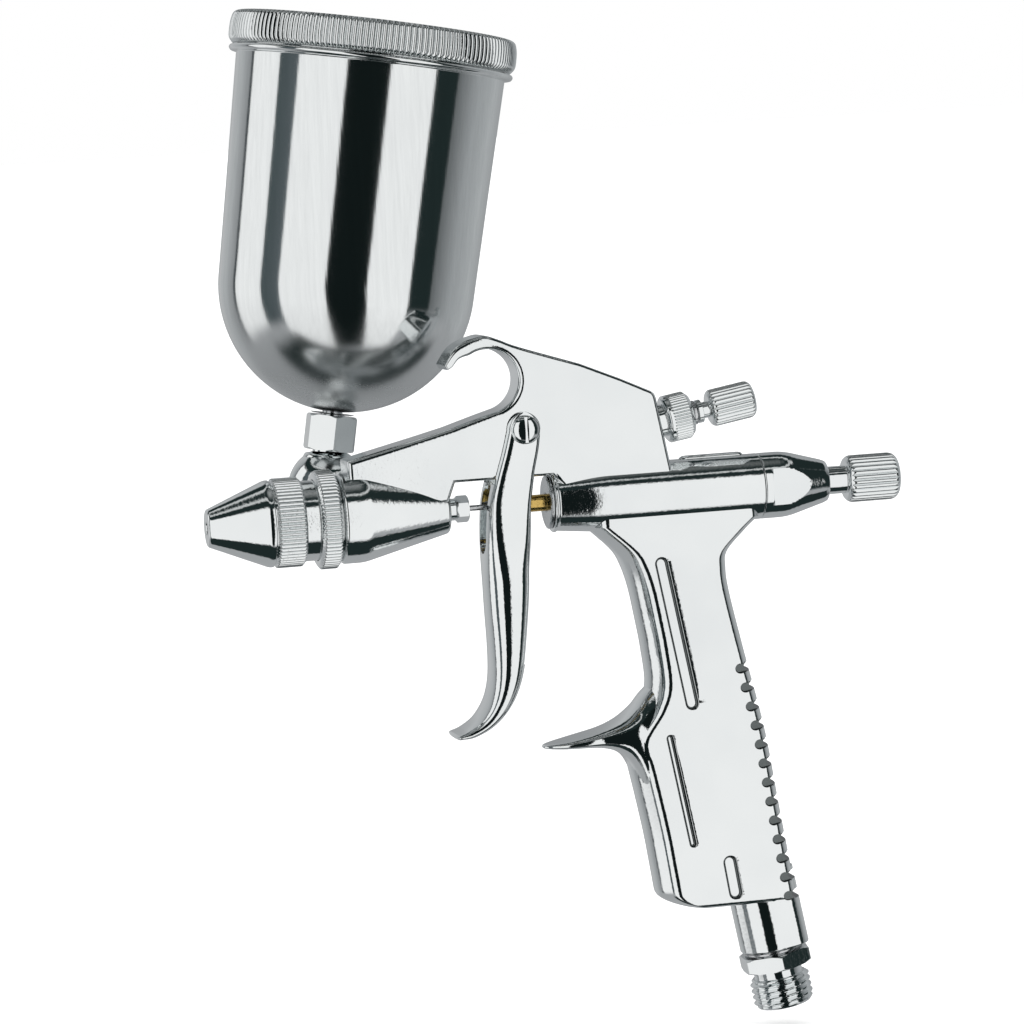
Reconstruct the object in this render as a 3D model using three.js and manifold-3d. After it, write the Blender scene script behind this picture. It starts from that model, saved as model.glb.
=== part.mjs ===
// Small spray gun with a side-fed paint cup, a knurled lid, a pull trigger and an air inlet under the grip.
// Millimetres. +X runs from the nozzle to the rear, +Z is up, and the cup stands on the +Y side.
// Stations count from the nozzle's front face on the barrel's axis. The last group moves the origin to the
// crown of the hanging hook.

import * as THREE from 'three';
import { mergeVertices } from 'three/addons/utils/BufferGeometryUtils.js';
import Module from 'manifold-3d';

const wasm = await Module();
wasm.setup();

// Clearances
const RUNNING = 0.1;       // radial gap of a turned piece in its bore
const SEAT = 0.1;          // gap between faces that rest on each other
const TURNED_SEAT = 0.3;   // the same gap where the pieces stand in a turned group
const THROUGH = 1;         // how far a cut runs past the face it opens
const DETAIL = 28;         // sides of a turned piece
const FINE = 12;           // sides of a small bore or rod
const BOWL_SIDES = 40;
const SLIVER = 0.01;       // edges shorter than this are closed up after a cut

// Air cap and its two knurled rings
const CAP_CONE = 12.6;
const CAP_BAND = 1.5;
const CAP_SKIRT = 6.1;
const CAP_FRONT_R = 4.05;
const CAP_EDGE = 0.3;      // step from the cone out to the knurl
const CAP_SKIRT_WALL = 1;
const CAP_HOLE_R = 1;
const CAP_WALL = 1.6;
const CAP_TO_LOCK_RING = 2.8;
const NOZZLE_SHANK_R = 3.8;
const LOCK_RING = 4.5;
const LOCK_RING_WALL = 2;

// Head, needle window and barrel of the cast body
const NECK_R = 8.5;
const NECK_WALL = 1.6;
const NECK_STARTS = 3.6;   // from the skirt's front to the neck's front face
const CAP_SHOULDER = 1.2;  // from the skirt's front to the shoulder that holds the cap's seal
const CAP_SEAL = 1.1;
const HEAD_STEP = 1.2;     // step from the neck out to the head
const HEAD_GAP = 0.5;      // from the lock ring to the head
const HEAD_CYLINDER = 5;
const HEAD_CONE = 18.7;
const HEAD_END_R = 5;
const WINDOW = 22.3;       // from the head's rear end to the barrel's front face
const BARREL = 46;
const BARREL_R = 7.1;
const BARREL_NOSE = 0.8;   // step from the barrel in to its front edge

// Needle and its packing
const NEEDLE_R = 0.6;
const NEEDLE_TRAVEL = 2.2;
const PACKING_NUT_FLATS = 5;
const PACKING_BORE_R = 2.6;
const FLUID_BORE_R = 2.2;

// Air valve
const VALVE_STEM_R = 1.8;
const VALVE_TRAVEL = 3.41;
const VALVE_HEAD_R = 4;
const VALVE_CHAMBER_R = 4.6;
const VALVE_GLAND_R = 4.9;
const SPRING_WIRE_R = 0.4;
const SPRING_R = 3.35;

// Rear guide and needle knob
const GUIDE_SHANK_R = 5.6;
const GUIDE = 15.2;
const GUIDE_FLATS = 6;
const GUIDE_END_R = 4.3;
const STOP_IN = 1.6;
const STOP_OUT = 2;
const KNOB_SCREW_R = 3;
const KNOB_STEM = 4.4;
const KNOB = 11.6;
const KNOB_R = 5.1;

// Web, hook and trigger pivot
const WEB = 10;            // thickness
const HOOK_Z = 27;
const HOOK_R = 6.7;
const HOOK_CROWN = 9.6;    // from the hook's centre to the top of its crown
const WINDOW_TOP = 6;
const PIVOT_Z = 16.3;
const PIVOT_R = 1.95;
const PIVOT_HEAD_R = 3;
const PIVOT_HEAD = 1.7;

// Trigger
const TRIGGER_WALL = 1.5;
const TRIGGER_FRONT_WALL = 1.8;
const TRIGGER_TOP_R = 3.75;
const TRIGGER_REACH = 7.9; // from the pivot's axis to the front face
const TRIGGER_SIDE_GAP = 0.3;
const NEEDLE_SLOT = 3.2;
const NEEDLE_SLOT_DEPTH = 10;

// Grip
const GRIP = 16;           // thickness
const GRIP_BOTTOM = -89.5;
const GRIP_POWER = 4;      // even power of the grip's superellipse
const RAKE = THREE.MathUtils.degToRad(9.5);
const RIDGES = 13;
const RIDGE_PITCH = 4.18;
const RIDGE_TOP = -38.2;   // height of the first groove
const GROOVE = 2.1;
const GROOVE_DEPTH = 1.7;
const SPUR = 12;           // width
const PANEL_DEPTH = 0.8;

// Air inlet under the grip
const INLET_Z = -97;
const STUB_R = 7;
const STUB = 3.25;
const INLET_FLATS = 14;
const INLET_HEX = 3.4;
const INLET_NECK = 2;
const INLET_NECK_R = 5.25;
const INLET_THREAD = 6.5;
const INLET_THREAD_R = 6.58;
const INLET_BORE_R = 3.3;
const INLET_SHANK_R = 4.5;

// Air adjuster on the web's rear edge
const ADJUSTER_Z = 15.5;
const ADJUSTER_SHANK_R = 3.5;
const ADJUSTER_HEAD = 6;
const ADJUSTER_HEAD_R = 5.1;
const ADJUSTER_STEM_R = 1.75;
const ADJUSTER_KNOB = 10;
const ADJUSTER_KNOB_R = 4;

// Side inlet, elbow and cup
const SIDE_X = 32.2;
const BOSS_R = 4.4;
const BOSS = 0.9;          // how far the boss stands out of the head
const CUP_SIDE = 0.25;     // from the body's mid-plane to the bowl's near side
const CUP_LEAN = THREE.MathUtils.degToRad(10);
const CUP_FORWARD = 2.4;   // the cup's axis stands this far in front of the side inlet's axis
const ELBOW_R = 8.6;
const COUPLING_FLATS = 13;
const CUP_NUT_FLATS = 9.5;
const CUP_NUT = 7.7;
const CUP_NUT_START = 12.2;
const CUP_TOP_R = 29.25;
const CUP_TAPER = 1.4;     // how much the bowl narrows towards its round end
const CUP_BASE = 20.65;    // height of the bowl's lowest point over the side inlet
const CUP_HEIGHT = 76.15;
const CUP_WALL = 1;
const CUP_NECK = 4.2;
const RIM_BEAD = 1.2;
const RIM_BEAD_STEP = 1.75;
const LID = 6.4;
const LID_STEP = 1.95;     // step from the bowl out to the lid
const LID_VENT_R = 0.8;

// Radii that follow from the neck, the barrel and the bowl
const NECK_BORE_R = NECK_R - NECK_WALL;
const CAP_KNURL_R = NECK_R + CAP_SKIRT_WALL;
const CAP_CONE_R = CAP_KNURL_R - CAP_EDGE;
const LOCK_RING_R = NECK_R + LOCK_RING_WALL;
const HEAD_R = NECK_R + HEAD_STEP;
const BARREL_FRONT_R = BARREL_R - BARREL_NOSE;
const CUP_LOW_R = CUP_TOP_R - CUP_TAPER;
const RIM_BEAD_R = CUP_TOP_R + RIM_BEAD_STEP;
const LID_R = CUP_TOP_R + LID_STEP;

// Stations along the barrel's axis, from the nozzle back
const skirtX = CAP_CONE + CAP_BAND;
const neckX = skirtX + NECK_STARTS;
const capSealX = skirtX + CAP_SHOULDER;
const lockRingX = skirtX + CAP_SKIRT + CAP_TO_LOCK_RING;
const headX = lockRingX + LOCK_RING + HEAD_GAP;
const coneX = headX + HEAD_CYLINDER;
const headEndX = coneX + HEAD_CONE;
const barrelX = headEndX + WINDOW;
const barrelEndX = barrelX + BARREL;
const guideEndX = barrelEndX + GUIDE;
const knobX = guideEndX + KNOB_STEM;
const chamberFloorX = headX - 2;
const nozzleEndX = SIDE_X - 2.7;
const packingX = headEndX - 7.7;
const packingNutX = packingX + 2.7;
const galleryX = barrelX + 6;
const seatX = galleryX + 4;
const chamberX = seatX + 2;
const valveHeadX = chamberX + 1.6;
const valveTailX = valveHeadX + 7.8;
const shankX = barrelEndX - 18.5;
const springRoomX = shankX + 1.7;
const chuckX = valveTailX + VALVE_TRAVEL - NEEDLE_TRAVEL + 0.3;
const guideThreadX = guideEndX - 3;
const stopX = guideThreadX - STOP_OUT - 3.2;
const hookX = barrelX - 12.8;
const pivotX = barrelX - 5.8;
const adjusterX = barrelX + 24.9;
const inletX = barrelX + 43.2;
const triggerFaceX = pivotX - TRIGGER_REACH;
const valveFrontX = triggerFaceX + TRIGGER_FRONT_WALL + 0.5;

// Stations along the side inlet's axis
const bossEndY = HEAD_R + BOSS;
const jointHexY = bossEndY + SEAT;
const jointHexEndY = jointHexY + 2.5;
const jointNoseY = jointHexEndY + 3.8;
const armY = jointNoseY + 0.8;
const couplingEndY = armY + 2.9;
const cupY = Math.max(CUP_TOP_R + CUP_SIDE, couplingEndY + SEAT + ELBOW_R);

const CHROME = 0xdfe4e4;
const DARK_CHROME = 0xb9c0c0;
const BRASS = 0xb08a3c;
const RUBBER = 0x1c1c1c;
const PLASTIC = 0xe9e6da;
const STEEL = 0x9aa0a4;

/** A closed solid for cutting and joining, from a geometry's positions alone. */
function solid(geometry) {
  const bare = geometry.clone();
  bare.deleteAttribute('normal');
  bare.deleteAttribute('uv');
  const merged = mergeVertices(bare, 1e-4);
  const corners = merged.index.array;
  const kept = [];
  for (let i = 0; i < corners.length; i += 3) {
    const [a, b, c] = [corners[i], corners[i + 1], corners[i + 2]];
    if (a !== b && b !== c && c !== a) {
      kept.push(a, b, c);
    }
  }
  const vertProperties = new Float32Array(merged.attributes.position.array);
  return new wasm.Manifold(new wasm.Mesh({ numProp: 3, vertProperties, triVerts: new Uint32Array(kept) }));
}

/** The geometry of a finished solid. */
function geometryOf(body) {
  const mesh = body.simplify(SLIVER).getMesh();
  const geometry = new THREE.BufferGeometry();
  geometry.setAttribute('position', new THREE.BufferAttribute(mesh.vertProperties, 3));
  geometry.setIndex(new THREE.BufferAttribute(mesh.triVerts, 1));
  geometry.computeVertexNormals();
  return geometry;
}

function joined(...bodies) {
  return bodies.reduce((whole, body) => whole.add(body));
}

function cut(body, ...tools) {
  return tools.reduce((rest, tool) => rest.subtract(tool), body);
}

/** Turned body about +Y: [radius, station] pairs run up the outside, and back down any bore. */
function turned(profile, sides = DETAIL) {
  const points = profile.map(([radius, station]) => new THREE.Vector2(radius, station));
  return new THREE.LatheGeometry(points, sides);
}

/** Closes a profile that has a bore by returning to its first point. */
function ringProfile(profile) {
  return [...profile, profile[0]];
}

const alongX = (geometry) => geometry.rotateZ(-Math.PI / 2);
const alongZ = (geometry) => geometry.rotateX(Math.PI / 2);

/** Stands a geometry that was made along +Y on a point, pointing along a direction. */
function aimed(geometry, point, direction) {
  const up = new THREE.Vector3(0, 1, 0);
  const turn = new THREE.Quaternion().setFromUnitVectors(up, direction.clone().normalize());
  return geometry.applyQuaternion(turn).translate(point.x, point.y, point.z);
}

function rod(radius, from, to, sides = DETAIL) {
  return turned([[0, from], [radius, from], [radius, to], [0, to]], sides);
}

function tube(radius, bore, from, to, sides = DETAIL) {
  return turned(ringProfile([[radius, from], [radius, to], [bore, to], [bore, from]]), sides);
}

/** Hexagonal bar along +Y, by its size across the flats. */
function hexBar(flats, from, to) {
  return rod(flats / Math.sqrt(3), from, to, 6);
}

/** Round drilling between two points. */
function drilling(radius, start, end, sides = 10) {
  const direction = end.clone().sub(start);
  return solid(aimed(rod(radius, 0, direction.length(), sides), start, direction));
}

/** Plate of an outline in X and Z, centred on the mid-plane, with its edges bevelled. */
function plate(shape, thickness, bevel = 0, curveSegments = 8) {
  const geometry = new THREE.ExtrudeGeometry(shape, {
    depth: thickness - 2 * bevel,
    bevelEnabled: bevel > 0,
    bevelThickness: bevel,
    bevelSize: bevel,
    bevelOffset: -bevel,
    bevelSegments: 1,
    curveSegments,
  });
  return alongZ(geometry.translate(0, 0, -thickness / 2 + bevel));
}

function box(x0, x1, y0, y1, z0, z1) {
  const geometry = new THREE.BoxGeometry(x1 - x0, y1 - y0, z1 - z0);
  return solid(geometry.translate((x0 + x1) / 2, (y0 + y1) / 2, (z0 + z1) / 2));
}

/** Points of a curve from [across, up] pairs. */
function vectors(points) {
  return points.map(([across, up]) => new THREE.Vector2(across, up));
}

/** Outline through points; a point list is joined by straight lines and a nested list by one smooth curve. */
function outline(first, ...stretches) {
  const shape = new THREE.Shape();
  shape.moveTo(...first);
  for (const stretch of stretches) {
    if (Array.isArray(stretch[0])) {
      shape.splineThru(vectors(stretch));
    } else {
      shape.lineTo(...stretch);
    }
  }
  return shape;
}

/** Straight slot with round ends between two points in X and Z. */
function slotShape([x0, z0], [x1, z1], width) {
  const angle = Math.atan2(z1 - z0, x1 - x0);
  const shape = new THREE.Shape();
  shape.absarc(x0, z0, width / 2, angle + Math.PI / 2, angle + 1.5 * Math.PI);
  shape.absarc(x1, z1, width / 2, angle - Math.PI / 2, angle + Math.PI / 2);
  return shape;
}

/** Compression spring along +X as one wire swept on a helix. */
function spring(from, to, turns) {
  class Helix extends THREE.Curve {
    getPoint(t) {
      const angle = 2 * Math.PI * turns * t;
      const x = from + SPRING_WIRE_R + (to - from - 2 * SPRING_WIRE_R) * t;
      return new THREE.Vector3(x, SPRING_R * Math.sin(angle), SPRING_R * Math.cos(angle));
    }
  }
  const wire = new THREE.Shape();
  wire.absarc(0, 0, SPRING_WIRE_R, 0, 2 * Math.PI);
  return new THREE.ExtrudeGeometry(wire, { extrudePath: new Helix(), steps: 8 * turns, curveSegments: 3 });
}

function piece(name, geometry, color, roughness = 0.12, metalness = 1) {
  const material = new THREE.MeshStandardMaterial({ color, roughness, metalness });
  const mesh = new THREE.Mesh(geometry.index ? geometry : mergeVertices(geometry), material);
  mesh.name = name;
  return mesh;
}

/** Head with its neck, turned about the barrel's axis. */
function headBlank() {
  const shoulder = 0.6;
  return solid(alongX(turned([
    [0, neckX], [NECK_R, neckX], [NECK_R, headX], [HEAD_R - shoulder, headX], [HEAD_R, headX + shoulder],
    [HEAD_R, coneX], [HEAD_END_R, headEndX - 0.4], [HEAD_END_R - 0.4, headEndX], [0, headEndX],
  ])));
}

function barrelBlank() {
  return solid(alongX(turned([
    [0, barrelX], [BARREL_FRONT_R, barrelX], [BARREL_R, barrelX + 2.2],
    [BARREL_R, barrelEndX], [0, barrelEndX],
  ])));
}

/** Web between head and barrel, with the hanging hook on top. Its X counts from the barrel's front. */
function webBlank() {
  const inside = 2;
  const frontX = coneX - 3 - barrelX;
  const gapX = headEndX - barrelX;
  const hook = hookX - barrelX;
  const shape = outline(
    [frontX, inside], [frontX, HEAD_R + 2.5], [-28.4, 15.8],
    [[-21.8, 17.4], [-15.1, 19.4], [hook + 1.2, HOOK_Z - HOOK_R + 0.1]],
  );
  shape.absarc(hook, HOOK_Z, HOOK_R, -1.37, 2.1);
  shape.splineThru(vectors([[-18.7, 32.1], [-20.3, 30.5], [-21.3, 30], [-21.7, 31]]));
  shape.splineThru(vectors([
    [-19.7, 34.1], [-17.4, 35.6], [-15.2, 36.3], [hook, HOOK_Z + HOOK_CROWN], [-9.7, 35.5], [-5.5, 33.7],
  ]));
  const corners = [
    [7.4, 29.3], [15.9, 25.6], [23.3, 22], [26.4, 4.2], [26.4, inside], [3, inside],
    [0, WINDOW_TOP], [gapX + 1.2, WINDOW_TOP], [gapX - 0.4, inside],
  ];
  for (const corner of corners) {
    shape.lineTo(...corner);
  }
  return solid(plate(shape, WEB, 0, 6).translate(barrelX, 0, 0));
}

/** Front and rear edges of the grip, as X from the barrel's front over Z, from the barrel down. */
function gripEdges() {
  return {
    front: new THREE.SplineCurve(vectors([
      [7.5, -6], [12.9, -11.3], [14.9, -15.1], [16.3, -20], [17.4, -26.6], [18.3, -33], [18.8, -40.7],
      [17, -46], [13.2, -51.5], [12.9, -54.5], [14, -58.5], [16.4, -71.5], [17.6, -80], [18.8, GRIP_BOTTOM],
    ])),
    rear: new THREE.SplineCurve(vectors([
      [45.4, -6], [42.1, -8.6], [37.7, -12.8], [37.1, -16.4], [37.6, -21.8], [40.1, -34.4],
      [43.8, -52], [46.2, -69.6], [49, GRIP_BOTTOM],
    ])),
  };
}

/** X on an edge curve at height z, by halving. The curve falls all the way. */
function edgeAt(curve, z) {
  let [low, high] = [0, 1];
  for (let i = 0; i < 30; i += 1) {
    const middle = (low + high) / 2;
    if (curve.getPoint(middle).y > z) {
      low = middle;
    } else {
      high = middle;
    }
  }
  return curve.getPoint(low).x;
}

/** Half the grip's thickness at height z: it draws in under the barrel. */
function gripHalf(z) {
  return THREE.MathUtils.lerp(BARREL_R - 0.8, GRIP / 2, THREE.MathUtils.smoothstep(-z, 5, 20));
}

/** Grip lofted down the rake: each level is a superellipse between the front and rear edges. */
function gripBlank() {
  const { front, rear } = gripEdges();
  const top = -6;
  const inner = -3;
  const levels = 18;
  const geometry = new THREE.CylinderGeometry(1, 1, 1, 20, levels);
  const place = geometry.attributes.position;
  for (let i = 0; i < place.count; i += 1) {
    const share = 0.5 - place.getY(i);
    const level = (share * levels - 1) / (levels - 1);
    const z = level < 0 ? inner : THREE.MathUtils.lerp(top, GRIP_BOTTOM, level);
    const [x0, x1] = [edgeAt(front, Math.min(z, top)), edgeAt(rear, Math.min(z, top))];
    const [u, v] = [place.getX(i), place.getZ(i)];
    const reach = Math.hypot(u, v);
    const stretch = reach < 0.5 ? 0 : (u ** GRIP_POWER + v ** GRIP_POWER) ** (-1 / GRIP_POWER);
    place.setXYZ(i, (x0 + x1) / 2 + (u * stretch * (x1 - x0)) / 2, -v * stretch * gripHalf(z), z);
  }
  return solid(geometry.translate(barrelX, 0, 0));
}

/** Finger spur in front of the grip: a thin blade with a round nose in plan. Its X counts from the barrel. */
function spurBlank() {
  const half = SPUR / 2;
  const side = outline(
    [22, -42], [18.3, -43.2], [[17.2, -45.2], [12.3, -48.5], [7.9, -49.5], [1.3, -50.9], [-4.2, -51.9]],
    [-4.7, -52.4], [[-1.1, -53], [7.7, -53.3], [14, -54.2]], [22, -57],
  );
  const plan = outline(
    [23, -half], [23, half], [14, half],
    [[6, half - 1], [-1, 3.6], [-4.7, 0], [-1, -3.6], [6, 1 - half], [14, -half]],
  );
  const stamp = new THREE.ExtrudeGeometry(plan, { depth: 30, bevelEnabled: false, curveSegments: 3 });
  const blade = solid(plate(side, GRIP, 0, 4)).intersect(solid(stamp.translate(0, 0, -65)));
  return blade.translate(barrelX, 0, 0);
}

const inletPoint = new THREE.Vector3(inletX, 0, INLET_Z);
const inletWay = new THREE.Vector3(Math.sin(RAKE), 0, -Math.cos(RAKE));

/** Side panels sunk into the grip, and the grooves between the ridges on its back. */
function gripCuts() {
  const floor = GRIP / 2 - PANEL_DEPTH;
  const panels = [
    [[21.9, -14.2], [27, -45], 2.7],
    [[21.6, -51.9], [25.4, -75.1], 1.4],
    [[33.3, -79.8], [34.2, -86.5], 2.8],
  ];
  const cuts = [];
  for (const [start, end, width] of panels) {
    const prism = solid(plate(slotShape(start, end, width), GRIP + 2, 0, 4));
    cuts.push(prism.subtract(box(0, BARREL, -floor, floor, -100, 0)).translate(barrelX, 0, 0));
  }
  const { rear } = gripEdges();
  for (let i = 0; i < RIDGES; i += 1) {
    const z = RIDGE_TOP - i * RIDGE_PITCH;
    const x = edgeAt(rear, z) - GROOVE_DEPTH;
    const [low, high] = [z - GROOVE / 2, z + GROOVE / 2];
    const groove = outline([x, low], [x + 8, low + 1.2], [x + 8, high + 1.2], [x, high]);
    cuts.push(solid(plate(groove, GRIP + 2).translate(barrelX, 0, 0)));
  }
  return cuts;
}

const adjusterPoint = new THREE.Vector3(adjusterX, 0, ADJUSTER_Z);
const adjusterWay = new THREE.Vector3(Math.cos(RAKE), 0, Math.sin(RAKE));
const adjusterTip = adjusterPoint.clone().addScaledVector(adjusterWay, -11);

/** Bores and drillings of the cast body. */
function bodyBores() {
  const axial = solid(alongX(turned([
    [0, neckX - THROUGH], [NECK_BORE_R, neckX - THROUGH], [NECK_BORE_R, chamberFloorX],
    [NOZZLE_SHANK_R + RUNNING, chamberFloorX], [NOZZLE_SHANK_R + RUNNING, nozzleEndX + SEAT],
    [FLUID_BORE_R, nozzleEndX + SEAT],
    [FLUID_BORE_R, packingX], [PACKING_BORE_R, packingX], [PACKING_BORE_R, headEndX + THROUGH],
    [0, headEndX + THROUGH],
  ])));
  const rear = solid(alongX(turned([
    [0, barrelX - THROUGH], [VALVE_GLAND_R + RUNNING, barrelX - THROUGH], [VALVE_GLAND_R + RUNNING, seatX],
    [VALVE_STEM_R + 1.4, seatX], [VALVE_STEM_R + 1.4, chamberX], [VALVE_CHAMBER_R, chamberX],
    [VALVE_CHAMBER_R, shankX - 0.3], [GUIDE_SHANK_R + RUNNING, shankX - 0.3],
    [GUIDE_SHANK_R + RUNNING, barrelEndX + THROUGH], [0, barrelEndX + THROUGH],
  ])));
  const inletBore = drilling(
    INLET_SHANK_R + RUNNING,
    inletPoint.clone().addScaledVector(inletWay, -6),
    inletPoint.clone().addScaledVector(inletWay, STUB + THROUGH),
    DETAIL,
  );
  const airWay = drilling(
    2.6, inletPoint.clone().addScaledVector(inletWay, -5), new THREE.Vector3(chamberX + 9, 0, 0),
  );
  const galleryTop = adjusterTip.clone().setX(adjusterTip.x + 1.5);
  const gallery = drilling(1.4, new THREE.Vector3(seatX - 2, 0, 3), galleryTop);
  const upperWay = drilling(1.3, new THREE.Vector3(chamberFloorX - 0.5, 0, 5.6), adjusterTip);
  const adjusterBore = drilling(
    ADJUSTER_SHANK_R + RUNNING, adjusterTip, adjusterPoint.clone().addScaledVector(adjusterWay, 4), DETAIL,
  );
  const sideBore = drilling(
    3.1, new THREE.Vector3(SIDE_X, 0, 0), new THREE.Vector3(SIDE_X, bossEndY + THROUGH, 0), FINE,
  );
  const pivotBore = drilling(
    PIVOT_R + RUNNING, new THREE.Vector3(pivotX, -WEB, PIVOT_Z),
    new THREE.Vector3(pivotX, WEB, PIVOT_Z), FINE,
  );
  return [axial, rear, inletBore, airWay, gallery, upperWay, adjusterBore, sideBore, pivotBore];
}

function gunBody() {
  const boss = drilling(
    BOSS_R, new THREE.Vector3(SIDE_X, 4, 0), new THREE.Vector3(SIDE_X, bossEndY, 0), DETAIL,
  );
  const stub = drilling(
    STUB_R,
    inletPoint.clone().addScaledVector(inletWay, -18),
    inletPoint.clone().addScaledVector(inletWay, STUB),
    DETAIL,
  );
  const grip = cut(gripBlank(), ...gripCuts());
  const blank = joined(headBlank(), barrelBlank(), webBlank(), grip, spurBlank(), stub, boss);
  return piece('gun_body', geometryOf(cut(blank, ...bodyBores())), CHROME);
}

function fluidNozzle() {
  const flangeX = chamberFloorX - 5.5;
  const bore = NEEDLE_R + 0.15;
  return piece('fluid_nozzle', alongX(turned(ringProfile([
    [1.1, 1.6], [2.6, CAP_CONE - 3], [3.2, flangeX - 1], [5, flangeX], [5, chamberFloorX - SEAT],
    [NOZZLE_SHANK_R, chamberFloorX - SEAT], [NOZZLE_SHANK_R, nozzleEndX],
    [1.6, nozzleEndX], [1.6, CAP_CONE], [bore, 4], [bore, 1.6],
  ]), FINE)), STEEL);
}

/** Cone and knurled skirt of the air cap, turned in one piece. */
function airCap() {
  const skirtEndX = skirtX + CAP_SKIRT;
  return piece('air_cap', alongX(turned(ringProfile([
    [CAP_HOLE_R + 0.5, 0], [CAP_FRONT_R - 0.3, 0], [CAP_FRONT_R, 0.3], [CAP_CONE_R, CAP_CONE],
    [CAP_CONE_R, skirtX], [CAP_KNURL_R, skirtX + 0.3], [CAP_KNURL_R, skirtEndX - 0.7],
    [CAP_KNURL_R - 0.7, skirtEndX], [NECK_R + RUNNING, skirtEndX], [NECK_R + RUNNING, capSealX],
    [NECK_BORE_R, capSealX], [NECK_BORE_R, CAP_CONE - 1], [CAP_FRONT_R - CAP_WALL + 1.6, 3],
    [CAP_HOLE_R + 0.9, 1], [CAP_HOLE_R + 0.3, 0.7],
  ]))), CHROME);
}

function capSeal() {
  const start = capSealX + SEAT;
  const ring = tube(NECK_R - RUNNING, NECK_BORE_R + 0.3, start, start + CAP_SEAL, FINE);
  return piece('air_cap_seal', alongX(ring),
    PLASTIC, 0.6, 0);
}

function lockRing() {
  return piece('lock_ring', alongX(turned(ringProfile([
    [LOCK_RING_R - 1, lockRingX], [LOCK_RING_R, lockRingX + 0.4], [LOCK_RING_R, lockRingX + LOCK_RING - 0.6],
    [LOCK_RING_R - 0.6, lockRingX + LOCK_RING], [NECK_R + RUNNING, lockRingX + LOCK_RING],
    [NECK_R + RUNNING, lockRingX],
  ]))), CHROME);
}

function needleParts() {
  const bore = NEEDLE_R + RUNNING;
  const nutX = headEndX + SEAT;
  const nut = joined(
    solid(tube(PACKING_BORE_R - RUNNING, bore, packingNutX, nutX, FINE)),
    solid(tube(PACKING_BORE_R - 0.2, bore, nutX, nutX + 1.7, FINE)),
    cut(solid(hexBar(PACKING_NUT_FLATS, nutX + 1.7, nutX + 4.3)), solid(rod(bore, nutX, nutX + 6, FINE))),
  );
  const needleEndX = stopX + 4;
  return [
    piece('needle_packing', alongX(tube(
      PACKING_BORE_R - RUNNING, bore, packingX + SEAT, packingNutX - SEAT, FINE,
    )),
      PLASTIC, 0.6, 0),
    piece('needle_packing_nut', alongX(geometryOf(nut)), CHROME),
    piece('fluid_needle', alongX(turned([
      [0, 0.9], [0.2, 1.1], [NEEDLE_R, 5], [NEEDLE_R, needleEndX], [0, needleEndX],
    ], 12)), STEEL),
    piece('needle_chuck', alongX(turned(ringProfile([
      [2.5, chuckX], [2.5, springRoomX + 0.4], [4, springRoomX + 0.4], [4, springRoomX + 3.2],
      [2.3, springRoomX + 3.2], [2.3, stopX - STOP_IN - NEEDLE_TRAVEL - 0.3],
      [NEEDLE_R + 0.1, stopX - STOP_IN - NEEDLE_TRAVEL - 0.3], [NEEDLE_R + 0.1, chuckX],
    ]), FINE)), STEEL),
    piece('needle_spring', spring(springRoomX + 3.3, stopX - SEAT, 8), STEEL, 0.3),
    piece('needle_spring_seat', alongX(tube(4.2, 0.9, stopX, stopX + 2.6, FINE)), STEEL),
  ];
}

function airValve() {
  const bore = NEEDLE_R + 0.15;
  return [
    piece('air_valve_gland', alongX(turned(ringProfile([
      [BARREL_FRONT_R - 0.9, barrelX - 0.9], [BARREL_FRONT_R - 0.6, barrelX - 0.6],
      [BARREL_FRONT_R - 0.6, barrelX - SEAT], [VALVE_GLAND_R, barrelX - SEAT], [VALVE_GLAND_R, galleryX],
      [VALVE_STEM_R + RUNNING, galleryX], [VALVE_STEM_R + RUNNING, barrelX - 0.9],
    ]), FINE)), DARK_CHROME),
    piece('air_valve_stem', alongX(turned(ringProfile([
      [VALVE_STEM_R - 0.7, valveFrontX], [VALVE_STEM_R, valveFrontX + 0.8], [VALVE_STEM_R, valveHeadX],
      [VALVE_HEAD_R, valveHeadX], [VALVE_HEAD_R, valveHeadX + 1.8],
      [2.2, valveHeadX + 1.8], [2.2, valveTailX],
      [bore, valveTailX], [bore, valveFrontX],
    ]), FINE)), BRASS, 0.2),
    piece('air_valve_seal', alongX(tube(
      4.2, VALVE_STEM_R + RUNNING, chamberX + SEAT, valveHeadX - SEAT, FINE,
    )),
      RUBBER, 0.7, 0),
    piece('air_valve_spring', spring(valveHeadX + 1.9, shankX - SEAT, 5), STEEL, 0.3),
  ];
}

/** Rear guide: a threaded tube in the barrel, with wrench flats and a tapered end around the knob's screw. */
function rearGuide() {
  const seamX = barrelEndX + SEAT;
  const blank = solid(alongX(turned(ringProfile([
    [GUIDE_SHANK_R, shankX], [GUIDE_SHANK_R, seamX], [BARREL_R, seamX], [BARREL_R, barrelEndX + 6],
    [GUIDE_END_R + 0.4, guideEndX - 0.9], [GUIDE_END_R, guideEndX], [KNOB_SCREW_R + RUNNING, guideEndX],
    [KNOB_SCREW_R + RUNNING, guideThreadX], [4.3, guideThreadX], [4.3, springRoomX], [2.9, springRoomX],
    [2.9, shankX],
  ]))));
  const flat = (side) => box(barrelEndX + 1.6, barrelEndX + 5, side * GUIDE_FLATS, side * 20, -20, 20);
  const left = box(barrelEndX + 1.6, barrelEndX + 5, -20, -GUIDE_FLATS, -20, 20);
  return piece('rear_guide', geometryOf(cut(blank, left, flat(1))), CHROME);
}

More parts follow.
